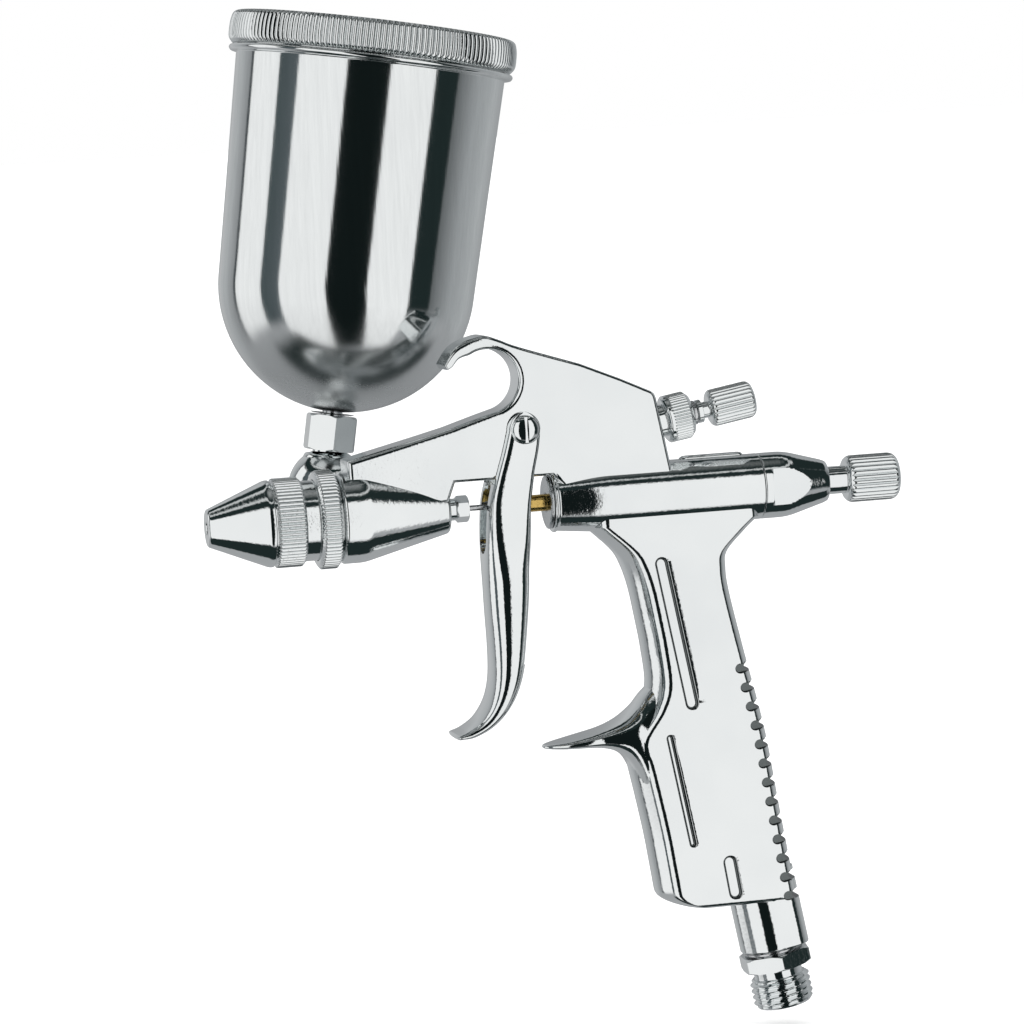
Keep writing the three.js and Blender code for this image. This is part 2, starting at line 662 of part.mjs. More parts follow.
function needleKnob() {
  return piece('needle_adjust_knob', alongX(turned(ringProfile([
    [KNOB_SCREW_R, stopX + 2.6 + SEAT], [KNOB_SCREW_R, knobX], [KNOB_R - 0.8, knobX], [KNOB_R, knobX + 0.8],
    [KNOB_R, knobX + KNOB - 1], [KNOB_R - 1, knobX + KNOB], [0.5, knobX + KNOB], [0.5, knobX + KNOB - 0.6],
    [0.9, knobX + KNOB - 1], [0.9, stopX + 2.6 + SEAT],
  ]), 24)), CHROME, 0.3);
}

/** Air adjuster, built along +Y from the web's rear edge and then tilted back. */
function airAdjuster() {
  const group = new THREE.Group();
  group.position.copy(adjusterPoint);
  group.quaternion.setFromUnitVectors(new THREE.Vector3(0, 1, 0), adjusterWay);
  const faceGap = TURNED_SEAT + 0.9;
  const ringStart = ADJUSTER_HEAD + faceGap + TURNED_SEAT;
  const ringEnd = ringStart + 0.8;
  const knobStart = ringEnd + 3;
  const parts = [
    piece('air_adjust_gland', turned(ringProfile([
      [ADJUSTER_SHANK_R, -8], [ADJUSTER_SHANK_R, faceGap], [ADJUSTER_HEAD_R - 0.5, faceGap],
      [ADJUSTER_HEAD_R, faceGap + 0.5], [ADJUSTER_HEAD_R, faceGap + ADJUSTER_HEAD - 1],
      [ADJUSTER_HEAD_R - 1, faceGap + ADJUSTER_HEAD], [ADJUSTER_STEM_R + RUNNING, faceGap + ADJUSTER_HEAD],
      [ADJUSTER_STEM_R + RUNNING, -1], [2.9, -1], [2.9, -8],
    ]), 24), CHROME),
    piece('air_adjust_oring', tube(2.7, ADJUSTER_STEM_R + RUNNING, -6, -4.8, FINE), RUBBER, 0.7, 0),
    piece('air_adjust_snap_ring', tube(2.6, ADJUSTER_STEM_R + RUNNING, ringStart, ringEnd, FINE), STEEL, 0.3),
    piece('air_adjust_knob', turned([
      [0, -9.5], [1, -9.5], [ADJUSTER_STEM_R, -7.5], [ADJUSTER_STEM_R, ringEnd + TURNED_SEAT],
      [2.5, ringEnd + TURNED_SEAT], [2.5, ringEnd + 1.4], [ADJUSTER_STEM_R, ringEnd + 1.4],
      [ADJUSTER_STEM_R, knobStart], [ADJUSTER_KNOB_R - 0.6, knobStart], [ADJUSTER_KNOB_R, knobStart + 0.6],
      [ADJUSTER_KNOB_R, knobStart + ADJUSTER_KNOB - 0.8], [ADJUSTER_KNOB_R - 0.8, knobStart + ADJUSTER_KNOB],
      [0, knobStart + ADJUSTER_KNOB],
    ], 24), CHROME, 0.3),
  ];
  group.add(...parts);
  return group;
}

/** Trigger: a channel that straddles the web, with a slot for the needle. Its X counts from the pivot. */
function triggerLever() {
  const width = WEB + 2 * (TRIGGER_WALL + TRIGGER_SIDE_GAP);
  const face = -TRIGGER_REACH;
  const inner = face + TRIGGER_FRONT_WALL;
  const topAngle = -0.25;
  const shape = new THREE.Shape();
  shape.absarc(0, PIVOT_Z, TRIGGER_TOP_R, topAngle, Math.PI);
  shape.splineThru(vectors([
    [-5.1, 11.6], [face + 0.9, 5.5], [face, 0], [face - 0.1, -12], [face - 0.1, -30], [-9.2, -39],
  ]));
  shape.splineThru(vectors([[-10.3, -42.2], [-12.7, -44.8], [-15.6, -46.7], [-18.3, -47.7]]));
  shape.splineThru(vectors([
    [-18.4, -48.5], [-17.6, -48.9], [-14.2, -48.7], [-9.7, -46.6], [-5.7, -42], [-3.7, -35],
  ]));
  shape.splineThru(vectors([[-3.2, -31], [-2.5, -22], [-1, -11.5], [0.4, -1], [1.8, 6.5], [3.1, 12]]));
  const channel = outline(
    [inner, 5], [[inner - 0.1, -12], [inner, -30]], [face + 2.6, -34],
    [12, -34], [12, 30], [-28, 30], [-28, 5],
  );
  const slotLow = NEEDLE_SLOT / 2 - NEEDLE_SLOT_DEPTH;
  const slot = plate(slotShape([0, 10], [0, slotLow], NEEDLE_SLOT), 12, 0, 4).rotateZ(Math.PI / 2);
  const hole = drilling(
    PIVOT_R + RUNNING, new THREE.Vector3(0, -width, PIVOT_Z), new THREE.Vector3(0, width, PIVOT_Z), FINE,
  );
  const body = cut(
    solid(plate(shape, width, 0, 5)),
    solid(plate(channel, WEB + 2 * TRIGGER_SIDE_GAP)),
    solid(slot.translate(face, 0, 0)),
    hole,
  );
  return piece('trigger', geometryOf(body.translate(pivotX, 0, 0)), CHROME);
}

function triggerPivot() {
  const half = WEB / 2 + TRIGGER_SIDE_GAP + TRIGGER_WALL + SEAT;
  const stud = turned(ringProfile([
    [PIVOT_R, -half], [PIVOT_R, half], [PIVOT_HEAD_R, half], [PIVOT_HEAD_R, half + PIVOT_HEAD - 0.4],
    [PIVOT_HEAD_R - 0.4, half + PIVOT_HEAD], [0.6, half + PIVOT_HEAD], [0.6, half], [1.3, half], [1.3, -half],
  ]), FINE);
  const screw = cut(
    solid(turned([
      [0, -half - SEAT - PIVOT_HEAD], [PIVOT_HEAD_R - 0.5, -half - SEAT - PIVOT_HEAD],
      [PIVOT_HEAD_R, -half - SEAT - PIVOT_HEAD + 0.5], [PIVOT_HEAD_R, -half - SEAT], [1.2, -half - SEAT],
      [1.2, half - 1], [0, half - 1],
    ], FINE)),
    box(-0.4, 0.4, -half - 3, -half - SEAT - PIVOT_HEAD + 0.8, -5, 5),
  );
  const group = new THREE.Group();
  group.position.set(pivotX, 0, PIVOT_Z);
  group.add(piece('trigger_pivot_stud', stud, CHROME));
  group.add(piece('trigger_pivot_screw', geometryOf(screw), CHROME));
  return group;
}

/** Air inlet, built along +Y down the rake from the stub's end. */
function airInlet() {
  const washerEnd = STUB + TURNED_SEAT + 0.5;
  const hexStart = washerEnd + TURNED_SEAT;
  const neckStart = hexStart + INLET_HEX;
  const threadStart = neckStart + INLET_NECK;
  const end = threadStart + INLET_THREAD;
  const core = solid(turned([
    [0, -5], [INLET_SHANK_R, -5], [INLET_SHANK_R, neckStart - 0.5], [INLET_NECK_R, neckStart - 0.5],
    [INLET_NECK_R, threadStart], [INLET_THREAD_R - 0.9, threadStart], [INLET_THREAD_R, threadStart + 0.7],
    [INLET_THREAD_R, end - 0.9], [INLET_THREAD_R - 0.9, end], [0, end],
  ]));
  const bore = solid(rod(INLET_BORE_R, -5 - THROUGH, end + THROUGH, FINE));
  const fitting = cut(joined(core, solid(hexBar(INLET_FLATS, hexStart, neckStart))), bore);
  const washer = tube(STUB_R - 0.6, INLET_SHANK_R + RUNNING, STUB + TURNED_SEAT, washerEnd);
  const group = new THREE.Group();
  group.position.copy(inletPoint);
  group.quaternion.setFromUnitVectors(new THREE.Vector3(0, 1, 0), inletWay);
  group.add(piece('inlet_fitting', geometryOf(fitting), CHROME), piece('inlet_washer', washer, STEEL, 0.4));
  return group;
}

/** Nipple, washer and coupling nut that hold the elbow on the head's side, along +Y. */
function sideCoupling() {
  const bore = solid(rod(1.6, 0, jointNoseY + THROUGH, FINE));
  const joint = cut(joined(
    solid(rod(3, NOZZLE_SHANK_R + 0.8, jointHexEndY, FINE)),
    solid(hexBar(9, jointHexY, jointHexEndY)),
    solid(rod(4.3, jointHexEndY - 0.5, jointNoseY)),
  ), bore);
  const nutStart = jointHexEndY + 0.3;
  const nutBore = solid(turned([
    [0, nutStart - THROUGH], [4.4, nutStart - THROUGH], [4.4, armY - 0.2], [5.05, armY - 0.2],
    [5.05, armY + 1.5], [4.05, armY + 1.5], [4.05, couplingEndY + THROUGH], [0, couplingEndY + THROUGH],
  ]));
  const nut = cut(solid(hexBar(COUPLING_FLATS, nutStart, couplingEndY)), nutBore);
  const group = new THREE.Group();
  group.position.x = SIDE_X;
  group.add(
    piece('side_inlet_joint', geometryOf(joint), CHROME),
    piece('side_seal_washer', tube(3.8, 1.7, jointNoseY + SEAT, armY - SEAT, FINE), PLASTIC, 0.6, 0),
    piece('side_coupling_nut', geometryOf(nut), CHROME),
  );
  return group;
}

/** Elbow: an arm along +Y into a round bulb, with a threaded neck up to the cup nut. */
function elbow() {
  const neckEnd = CUP_NUT_START + 3.4;
  const bulb = new THREE.SphereGeometry(ELBOW_R, 20, 12).translate(-CUP_FORWARD + 0.7, cupY, 4.2);
  const arm = turned([
    [0, armY], [4.9, armY], [4.9, armY + 1.35], [3.95, armY + 1.35], [3.95, cupY], [0, cupY],
  ]);
  const neck = alongZ(turned([
    [0, 4], [5, 4], [5, CUP_NUT_START - 1], [3.4, CUP_NUT_START - 0.6], [3.4, neckEnd],
    [0, neckEnd]], FINE)).translate(-CUP_FORWARD, cupY, 0);
  const down = drilling(
    1.8, new THREE.Vector3(-CUP_FORWARD, cupY, 0), new THREE.Vector3(-CUP_FORWARD, cupY, 30), FINE,
  );
  const across = drilling(1.8, new THREE.Vector3(0, 0, 0), new THREE.Vector3(0, cupY + 1.5, 0), FINE);
  const body = cut(joined(solid(bulb), solid(arm), solid(neck)), down, across);
  return piece('elbow', geometryOf(body), DARK_CHROME, 0.3);
}

/** Radius and height pairs of the bowl at a distance inside its outer face, from the bottom up. */
function bowlProfile(inset, startR) {
  const radius = CUP_LOW_R - inset;
  const centre = CUP_BASE + CUP_LOW_R;
  const first = Math.asin(startR / radius);
  const steps = 7;
  const points = [];
  for (let i = 0; i <= steps; i += 1) {
    const angle = THREE.MathUtils.lerp(first, Math.PI / 2, i / steps);
    points.push([radius * Math.sin(angle), centre - radius * Math.cos(angle)]);
  }
  return points;
}

/** Cup nut, spigot, bowl, gasket and lid, turned about +Y and stood on the elbow. */
function cupStack() {
  const rim = CUP_BASE + CUP_HEIGHT;
  const neckTop = rim + CUP_NECK;
  const neckR = CUP_TOP_R - 0.4;
  const nutEnd = CUP_NUT_START + CUP_NUT;
  const lip = nutEnd - 2.3;
  const nutBore = solid(turned([
    [0, CUP_NUT_START - THROUGH], [3.7, CUP_NUT_START - THROUGH], [3.7, lip], [2.9, lip],
    [2.9, nutEnd + THROUGH], [0, nutEnd + THROUGH],
  ], FINE));
  const spigot = turned(ringProfile([
    [3.5, CUP_NUT_START + 3.4 + TURNED_SEAT], [3.5, lip - TURNED_SEAT], [2.6, lip - TURNED_SEAT],
    [2.6, nutEnd + TURNED_SEAT], [4.4, nutEnd + TURNED_SEAT], [4.9, CUP_BASE - TURNED_SEAT],
    [2.2, CUP_BASE - TURNED_SEAT], [2.2, CUP_BASE + 1.6], [1.6, CUP_BASE + 1.6],
    [1.6, CUP_NUT_START + 3.4 + TURNED_SEAT],
  ]), FINE);
  const outer = bowlProfile(0, 2.6);
  const inner = bowlProfile(CUP_WALL, 2.6).reverse();
  const cup = turned(ringProfile([
    ...outer, [CUP_TOP_R, rim - RIM_BEAD], [RIM_BEAD_R - 0.3, rim - RIM_BEAD],
    [RIM_BEAD_R, rim - RIM_BEAD / 2],
    [RIM_BEAD_R - 0.3, rim], [neckR, rim], [neckR, neckTop], [neckR - CUP_WALL, neckTop],
    [neckR - CUP_WALL, rim], [CUP_TOP_R - CUP_WALL - 0.4, rim - RIM_BEAD], ...inner,
  ]), BOWL_SIDES);
  const lidBase = rim + TURNED_SEAT;
  const lidFloor = neckTop + 1.2;
  const lid = turned(ringProfile([
    [LID_R - 0.5, lidBase], [LID_R, lidBase + 0.7],
    [LID_R, lidBase + LID - 0.9], [LID_R - 0.9, lidBase + LID],
    [LID_VENT_R, lidBase + LID], [LID_VENT_R, lidFloor], [neckR + TURNED_SEAT, lidFloor],
    [neckR + TURNED_SEAT, lidBase],
  ]), BOWL_SIDES);
  const gasket = tube(neckR - 0.3, neckR - 2.4, neckTop + TURNED_SEAT, lidFloor - TURNED_SEAT, BOWL_SIDES);
  const stack = new THREE.Group();
  stack.position.set(-CUP_FORWARD, cupY, 0);
  stack.rotation.x = Math.PI / 2;
  stack.add(
    piece('cup_nut', geometryOf(cut(solid(hexBar(CUP_NUT_FLATS, CUP_NUT_START, nutEnd)), nutBore)), CHROME),
    piece('cup_spigot', spigot, DARK_CHROME),
    piece('cup', cup, CHROME),
    piece('lid_gasket', gasket, PLASTIC, 0.6, 0),
    piece('cup_lid', lid, CHROME, 0.25),
  );
  return stack;
}
const gun = new THREE.Group();
gun.position.set(-hookX, 0, -(HOOK_Z + HOOK_R));
gun.add(
  gunBody(), fluidNozzle(), airCap(), capSeal(), lockRing(), ...needleParts(), ...airValve(), rearGuide(),
  needleKnob(), triggerLever(), triggerPivot(), airAdjuster(), airInlet(), sideCoupling(),
);

const cupSide = new THREE.Group();
cupSide.position.x = SIDE_X;
cupSide.rotation.y = CUP_LEAN;
cupSide.add(elbow(), cupStack());
gun.add(cupSide);

const object = new THREE.Group();
object.add(gun);

export default object;
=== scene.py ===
"""Side-feed spray gun: its visible surfaces and finishes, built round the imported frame."""

import math

import bmesh
import bpy
import numpy as np
from mathutils import Matrix, Vector


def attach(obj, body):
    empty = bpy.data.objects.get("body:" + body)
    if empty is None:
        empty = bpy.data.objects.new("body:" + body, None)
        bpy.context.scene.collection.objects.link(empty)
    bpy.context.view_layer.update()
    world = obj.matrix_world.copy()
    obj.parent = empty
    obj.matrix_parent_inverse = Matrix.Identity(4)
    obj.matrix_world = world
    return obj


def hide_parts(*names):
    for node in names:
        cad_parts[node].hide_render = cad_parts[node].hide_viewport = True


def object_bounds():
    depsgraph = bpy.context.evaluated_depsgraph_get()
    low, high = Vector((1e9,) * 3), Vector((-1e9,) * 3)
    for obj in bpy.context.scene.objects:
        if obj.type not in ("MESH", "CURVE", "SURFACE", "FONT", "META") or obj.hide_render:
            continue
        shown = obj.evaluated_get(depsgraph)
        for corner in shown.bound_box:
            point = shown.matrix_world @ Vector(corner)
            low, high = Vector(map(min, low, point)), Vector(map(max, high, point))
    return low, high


bl_info = {
    "name": "Side-feed spray gun",
    "version": (1, 0, 0),
    "blender": (4, 5, 0),
    "location": "3D View > Sidebar > Spray Gun",
    "description": "Surfaces and finishes of a chromed spray gun with a side cup",
    "category": "Add Mesh",
}

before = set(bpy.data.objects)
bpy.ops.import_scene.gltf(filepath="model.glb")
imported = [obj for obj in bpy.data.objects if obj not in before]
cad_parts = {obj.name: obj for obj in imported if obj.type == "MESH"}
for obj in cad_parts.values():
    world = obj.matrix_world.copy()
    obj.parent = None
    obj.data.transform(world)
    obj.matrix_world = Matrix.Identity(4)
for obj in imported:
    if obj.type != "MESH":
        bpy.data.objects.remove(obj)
cad_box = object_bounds()

# Lengths are millimetres, with X along the barrel from the air cap's face and Z up from its axis.
MM = 0.001
ORIGIN = np.array([61.2, 0.0, 33.7])  # where the frame's origin, the hook's crown, stands in them
WELD = 1e-4
UP = (0.0, 0.0, 1.0)
ALONG = (1.0, 0.0, 0.0)

RAKE = math.radians(9.5)
CUP_LEAN = math.radians(10)
HEAD_X = 28.0
CONE_X = 33.0
HEAD_END_X = 51.7
BARREL_X = 74.0
BARREL_END_X = 120.0
GUIDE_END_X = 135.2
PIVOT_X = 68.2
PIVOT_Z = 16.3
PIVOT_BORE_R = 2.05
TRIGGER_TOP_R = 3.75
WEB_START_X = 30.0
GRIP_END_Z = -89.5
GRIP_HALF = 8.0
PANELS = (((21.9, -14.3), (26.9, -44.8), 2.7), ((21.6, -51.9), (25.4, -75.1), 1.4),
          ((33.3, -79.8), (34.2, -86.5), 2.8))  # start, end and width, with X from the barrel's front
GROOVE_TOP_Z = -38.2
GROOVE_STEP = 4.18
GROOVE_R = 1.0
SIDE_X = 32.2
CUP_FORWARD = 2.4
CUP_Y = 29.5
INLET_AT = np.array([117.2, 0.0, -97.0])
INLET_WAY = np.array([math.sin(RAKE), 0.0, -math.cos(RAKE)])
ADJUSTER_AT = np.array([98.9, 0.0, 15.5])
ADJUSTER_WAY = np.array([math.cos(RAKE), 0.0, math.sin(RAKE)])
CUP_UP = np.array([math.sin(CUP_LEAN), 0.0, math.cos(CUP_LEAN)])
CUP_AT = np.array([SIDE_X, 0.0, 0.0]) + CUP_FORWARD * np.array(
    [-math.cos(CUP_LEAN), 0.0, math.sin(CUP_LEAN)]
) + np.array([0.0, CUP_Y, 0.0])
ON_CUP = {"at": CUP_AT, "way": CUP_UP, "side": (0, -1, 0)}
ON_SIDE = {"at": (SIDE_X, 0, 0), "way": (0, 1, 0)}


# Shapes as arrays ---------------------------------------------------------------------------

def ease(low, high, value):
    """0 below low and 1 above high, with t²(3 − 2t) between."""
    t = np.clip((np.asarray(value, float) - low) / (high - low), 0, 1)
    return t * t * (3 - 2 * t)


def through(points, count):
    """Smooth path through points. Between b and c, with a before and d after them, it is
    (2b + (c − a)t + (2a − 5b + 4c − d)t² + (3b − a − 3c + d)t³) / 2."""
    p = np.asarray(points, float)
    ends = np.vstack([2 * p[0] - p[1], p, 2 * p[-1] - p[-2]])
    span = np.linspace(0, len(p) - 1, count)
    i = np.minimum(span.astype(int), len(p) - 2)
    t = (span - i)[:, None]
    a, b, c, d = ends[i], ends[i + 1], ends[i + 2], ends[i + 3]
    cubic = (2 * a - 5 * b + 4 * c - d) * t**2 + (3 * b - a - 3 * c + d) * t**3
    return (2 * b + (c - a) * t + cubic) / 2


def arc(centre, radius, start, end, count):
    """Points centre + radius·(cos a, sin a), with a in radians from start to end."""
    a = np.linspace(start, end, count)
    return np.asarray(centre, float) + radius * np.stack([np.cos(a), np.sin(a)], 1)


def softened(profile, soft, closed):
    """Each corner p of a profile becomes (1−t)²a + 2t(1−t)p + t²b, with a and b a soft length
    before and after it, or 45% of the way to the next corner. A third number is its own length."""
    p = np.array([row[:2] for row in profile], float)
    reach = np.array([row[2] if len(row) > 2 else soft for row in profile], float)
    if not closed:
        reach[[0, -1]] = 0
    back, ahead = np.roll(p, 1, 0) - p, np.roll(p, -1, 0) - p
    t = np.linspace(0, 1, 5)[None, :, None]

    def towards(way):
        length = np.maximum(np.linalg.norm(way, axis=1), 1e-9)
        return (p + way * (np.minimum(reach, 0.45 * length) / length)[:, None])[:, None]

    curve = (1 - t) ** 2 * towards(back) + 2 * t * (1 - t) * p[:, None] + t**2 * towards(ahead)
    return curve.reshape(-1, 2)


def stepped(path, step):
    """The same path with more points, so that none is further than step from the next."""
    length = np.concatenate([[0], np.cumsum(np.linalg.norm(np.diff(path, axis=0), axis=1))])
    more = np.linspace(0, length[-1], max(2, int(length[-1] / step) + 1))
    at = np.unique(np.concatenate([length, more]))
    return np.stack([np.interp(at, length, path[:, k]) for k in range(path.shape[1])], 1)


def framed(points, at=(0, 0, 0), way=ALONG, side=UP):
    """Local (u, v, w) points as at + u·e + v·(w-axis × e) + w·(w-axis), with e towards side."""
    w = np.asarray(way, float) / np.linalg.norm(way)
    e = np.asarray(side, float) - np.dot(side, w) * w
    e = e / np.linalg.norm(e)
    return np.asarray(at, float) + points @ np.stack([e, np.cross(w, e), w])


def turned(profile, sides=96, soft=0.25, closed=False, limit=None, carve=None, step=None):
    """Turned surface (r cos a, r sin a, s) of a (r, s) profile. Where limit gives a smaller
    radius at (a, s), that one counts, so that it cuts flats and ribs. Carve(r, a, s) is a depth
    taken off the radius."""
    path = softened(profile, soft, closed)
    if step:
        path = stepped(np.vstack([path, path[:1]]) if closed else path, step)
    a = np.linspace(0, 2 * math.pi, sides, endpoint=False)[None, :]
    r, s = path[:, :1] + 0 * a, path[:, 1:] + 0 * a
    if limit:
        r = np.minimum(r, limit(a + 0 * r, s))
    if carve:
        r = r - carve(r, a, s)
    return np.stack([r * np.cos(a), r * np.sin(a), s], -1)


def within(low, high, bound):
    """The radius limit bound(a, s) from s = low to high, and none outside."""
    return lambda a, s: np.where((s >= low) & (s <= high), bound(a, s), 1e6)


def hexagon(flats, turn=0.0):
    """Radius limit of a hexagon: flats / 2 / cos(a), with a measured from the nearest flat."""
    sixth = math.pi / 3
    return lambda a, s: flats / 2 / np.cos((a + turn) % sixth - sixth / 2)


def between_ribs(a, depth, count):
    """Depth between rounded ribs: depth·(1 − |sin(count·a / 2)|^0.8)."""
    return depth * (1 - np.abs(np.sin(count * a / 2)) ** 0.8)


def ribs(radius, depth, count):
    """Radius limit of rounded ribs that stand as high as the radius."""
    return lambda a, s: radius - between_ribs(a, depth, count)


def two_flats(half):
    """Radius limit of two wrench flats: half / |sin a|."""
    return lambda a, s: half / np.maximum(np.abs(np.sin(a)), 1e-6)


def thread(radius, depth, pitch):
    """Radius limit of a screw thread: a triangle wave of the phase s / pitch − a / 2π, rounded."""
    def bound(a, s):
        phase = (s / pitch - a / (2 * math.pi)) % 1
        return radius - depth * np.clip(1.25 * np.abs(2 * phase - 1) - 0.1, 0, 1)
    return bound


def shell(grid, round_rows=False, capped=False):
    """Closed surface of a grid whose columns close: points, four-sided and three-sided faces
    and end caps, with doubles merged and every face outwards."""
    rows, columns = grid.shape[:2]
    index = np.arange(rows * columns).reshape(rows, columns)
    down = np.vstack([index, index[:1]]) if round_rows else index
    net = np.hstack([down, down[:, :1]])
    quads = np.stack([net[:-1, :-1], net[1:, :-1], net[1:, 1:], net[:-1, 1:]], -1).reshape(-1, 4)
    points = grid.reshape(-1, 3)
    rounded = np.round(points / WELD).astype(np.int64)
    _, first, same = np.unique(rounded, axis=0, return_index=True, return_inverse=True)
    same, points = same.ravel(), points[first]
    quads = same[quads]
    differs = quads != np.roll(quads, -1, 1)
    thin = quads[differs.sum(1) == 3]
    triangles = thin[thin != np.roll(thin, -1, 1)].reshape(-1, 3)
    quads = quads[differs.all(1)]
    caps = []
    for loop in (index[0], index[-1][::-1]) if capped else ():
        loop = same[loop]
        caps.append(loop[loop != np.roll(loop, 1)])
    fan = np.vstack([quads[:, :3], quads[:, [0, 2, 3]], triangles])
    a, b, c = (points[fan[:, k]] - points.mean(0) for k in range(3))
    if np.einsum("ij,ij->i", a, np.cross(b, c)).sum() < 0:
        quads, triangles = quads[:, ::-1], triangles[:, ::-1]
        caps = [loop[::-1] for loop in caps]
    return points, quads, triangles, caps


def ring(profile, at=(0, 0, 0), way=ALONG, side=UP, **shape):
    """Shell of a turned profile that closes on itself round a bore."""
    grid = turned(profile, closed=True, **shape)
    return shell(framed(grid, at, way, side), round_rows=True)


def knob(profile, at=(0, 0, 0), way=ALONG, side=UP, **shape):
    """Shell of a turned profile that starts and ends on its axis."""
    return shell(framed(turned(profile, **shape), at, way, side))


def drill(radius, start, end, sides, at, way, side=UP):
    """Plain round cutter from start to end along its axis."""
    return knob([(0, start), (radius, start), (radius, end), (0, end)], at, way, side,
                sides=sides, soft=0)


def inward(outline):
    """Mitred inward normals of a closed outline: (m + n) / (1 + m·n) of its edges' normals."""
    ahead = np.roll(outline, -1, 0) - outline
    ahead = ahead / np.linalg.norm(ahead, axis=1)[:, None]
    x, y = outline.T
    turn = 1 if np.sum(x * np.roll(y, -1) - y * np.roll(x, -1)) > 0 else -1
    after = turn * np.stack([-ahead[:, 1], ahead[:, 0]], 1)
    before = np.roll(after, 1, 0)
    lean = np.maximum(1 + np.sum(before * after, 1), 0.4)
    return (before + after) / lean[:, None]


def distinct(outline):
    """An outline without points that repeat the one before."""
    far = np.linalg.norm(outline - np.roll(outline, 1, 0), axis=1) > 1e-3
    return outline[far]


def slab(outline, half, edge):
    """Plate ±half thick of an (x, z) outline with round edges: at angle a each point is moved
    inwards by its own edge(1 − sin a), at y = ±(half − edge(1 − cos a))."""
    a = np.linspace(0, math.pi / 2, 7)
    a, side = np.concatenate([a, a[::-1]]), np.repeat([1.0, -1.0], len(a))
    moved = edge * (1 - np.sin(a))[:, None]
    xz = outline[None] + inward(outline)[None] * moved[..., None]
    y = side[:, None] * (half - edge * (1 - np.cos(a))[:, None])
    return shell(np.stack([xz[..., 0], y, xz[..., 1]], -1), capped=True)


def prism(outline, low, high):
    """Plain prism of an (x, z) outline between two values of y."""
    outline = distinct(np.asarray(outline, float))
    grid = np.stack([
        np.stack([outline[:, 0], np.full(len(outline), y), outline[:, 1]], 1) for y in (low, high)
    ])
    return shell(grid, capped=True)


def stadium(start, end, width):
    """Outline of a straight slot with round ends between two points."""
    start, end = np.asarray(start, float), np.asarray(end, float)
    a = math.atan2(*(end - start)[::-1])
    return np.vstack([
        arc(start, width / 2, a + math.pi / 2, a + 1.5 * math.pi, 9),
        arc(end, width / 2, a - math.pi / 2, a + math.pi / 2, 9),
    ])


def sunk(outline, surface, rim, cove, deep, side):
    """Cutter for a hollow in the face at y = side·surface. Its wall goes outwards by
    rim(1 − sin q) at the depth rim(1 − cos q), and inwards by cove(1 − cos q) near its floor."""
    outline = distinct(outline)
    q = np.linspace(0, math.pi / 2, 5)
    depth = np.concatenate([[-0.5], rim * (1 - np.cos(q)), deep - cove + cove * np.sin(q)])
    out = np.concatenate([[rim], rim * (1 - np.sin(q)), -cove * (1 - np.cos(q))])
    xz = outline[None] - inward(outline)[None] * out[:, None, None]
    y = side * (surface - depth)[:, None] + 0 * xz[..., 0]
    return shell(np.stack([xz[..., 0], y, xz[..., 1]], -1), capped=True)


# Meshes and pieces --------------------------------------------------------------------------

def new_object(name, solid):
    """Object of one shell, in the row frame in metres."""
    points, quads, triangles, caps = solid
    faces = quads.tolist() + triangles.tolist() + [loop.tolist() for loop in caps]
    mesh = bpy.data.meshes.new(name)
    mesh.from_pydata(((points - ORIGIN) * MM).tolist(), [], faces)
    mesh.validate()
    made = bpy.data.objects.new(name, mesh)
    bpy.context.scene.collection.objects.link(made)
    return made


def fused(name, solids, cuts=()):
    """The solids joined into one, less the cuts, by mesh booleans."""
    joined = new_object(name, solids[0])
    tools = []
    steps = [("UNION", s) for s in solids[1:]] + [("DIFFERENCE", s) for s in cuts]
    for operation, solid in steps:
        tool = new_object(name + "_tool", solid)
        tools.append(tool)
        step = joined.modifiers.new(operation.lower(), "BOOLEAN")
        step.operation, step.solver, step.object = operation, "MANIFOLD", tool
    depsgraph = bpy.context.evaluated_depsgraph_get()
    mesh = bpy.data.meshes.new_from_object(joined.evaluated_get(depsgraph))
    joined.modifiers.clear()
    seams = bmesh.new()
    seams.from_mesh(mesh)
    bmesh.ops.remove_doubles(seams, verts=seams.verts, dist=2e-6)
    bmesh.ops.dissolve_degenerate(seams, edges=seams.edges, dist=2e-6)
    bmesh.ops.recalc_face_normals(seams, faces=seams.faces)
    seams.to_mesh(mesh)
    seams.free()
    joined.data = mesh
    mesh.name = name
    for tool in tools:
        bpy.data.objects.remove(tool)
    return joined


def mark_hollows(mesh, hollows):
    """Marks the walls of hollows, each a capsule in x and z with a radius, where the finish paints
    shade and adds roughness: faces nearer its line than that radius that don't face straight
    sideways, and a groove's."""
    count = len(mesh.polygons)
    centre, normal = np.empty(3 * count), np.empty(3 * count)
    mesh.polygons.foreach_get("center", centre)
    mesh.polygons.foreach_get("normal", normal)
    centre, normal = centre.reshape(-1, 3) / MM + ORIGIN, normal.reshape(-1, 3)
    marks = np.zeros(count)
    for start, end, radius in hollows:
        start, way = np.asarray(start, float), np.subtract(end, start)
        off = centre[:, [0, 2]] - start
        share = np.clip(off @ way / (way @ way), 0, 1)
        near = np.linalg.norm(off - share[:, None] * way, axis=1) < radius + 0.03
        tilted = (np.abs(normal[:, 1]) < 0.985) & (np.abs(centre[:, 1]) > 5)
        groove = (radius == GROOVE_R) & (np.abs(centre[:, 1]) < GRIP_HALF - 0.3)
        marks[near & (tilted | groove)] = 1
    # This face mark is where the cast finish paints shade darker and makes the surface rougher.
    mesh.attributes.new("hollow_shade_and_dulling", "FLOAT", "FACE").data.foreach_set("value", marks)


def finished(made, material, body, node, sharp=32):
    """Shades a piece, gives it its finish and seats it on its body in place of its CAD node."""
    made.data.shade_smooth()
    made.data.set_sharp_from_angle(angle=math.radians(sharp))
    weighted = made.modifiers.new("normals", "WEIGHTED_NORMAL")
    weighted.keep_sharp = True
    weighted.weight = 80
    made.data.materials.clear()
    made.data.materials.append(material)
    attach(made, body)
    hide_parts(node)


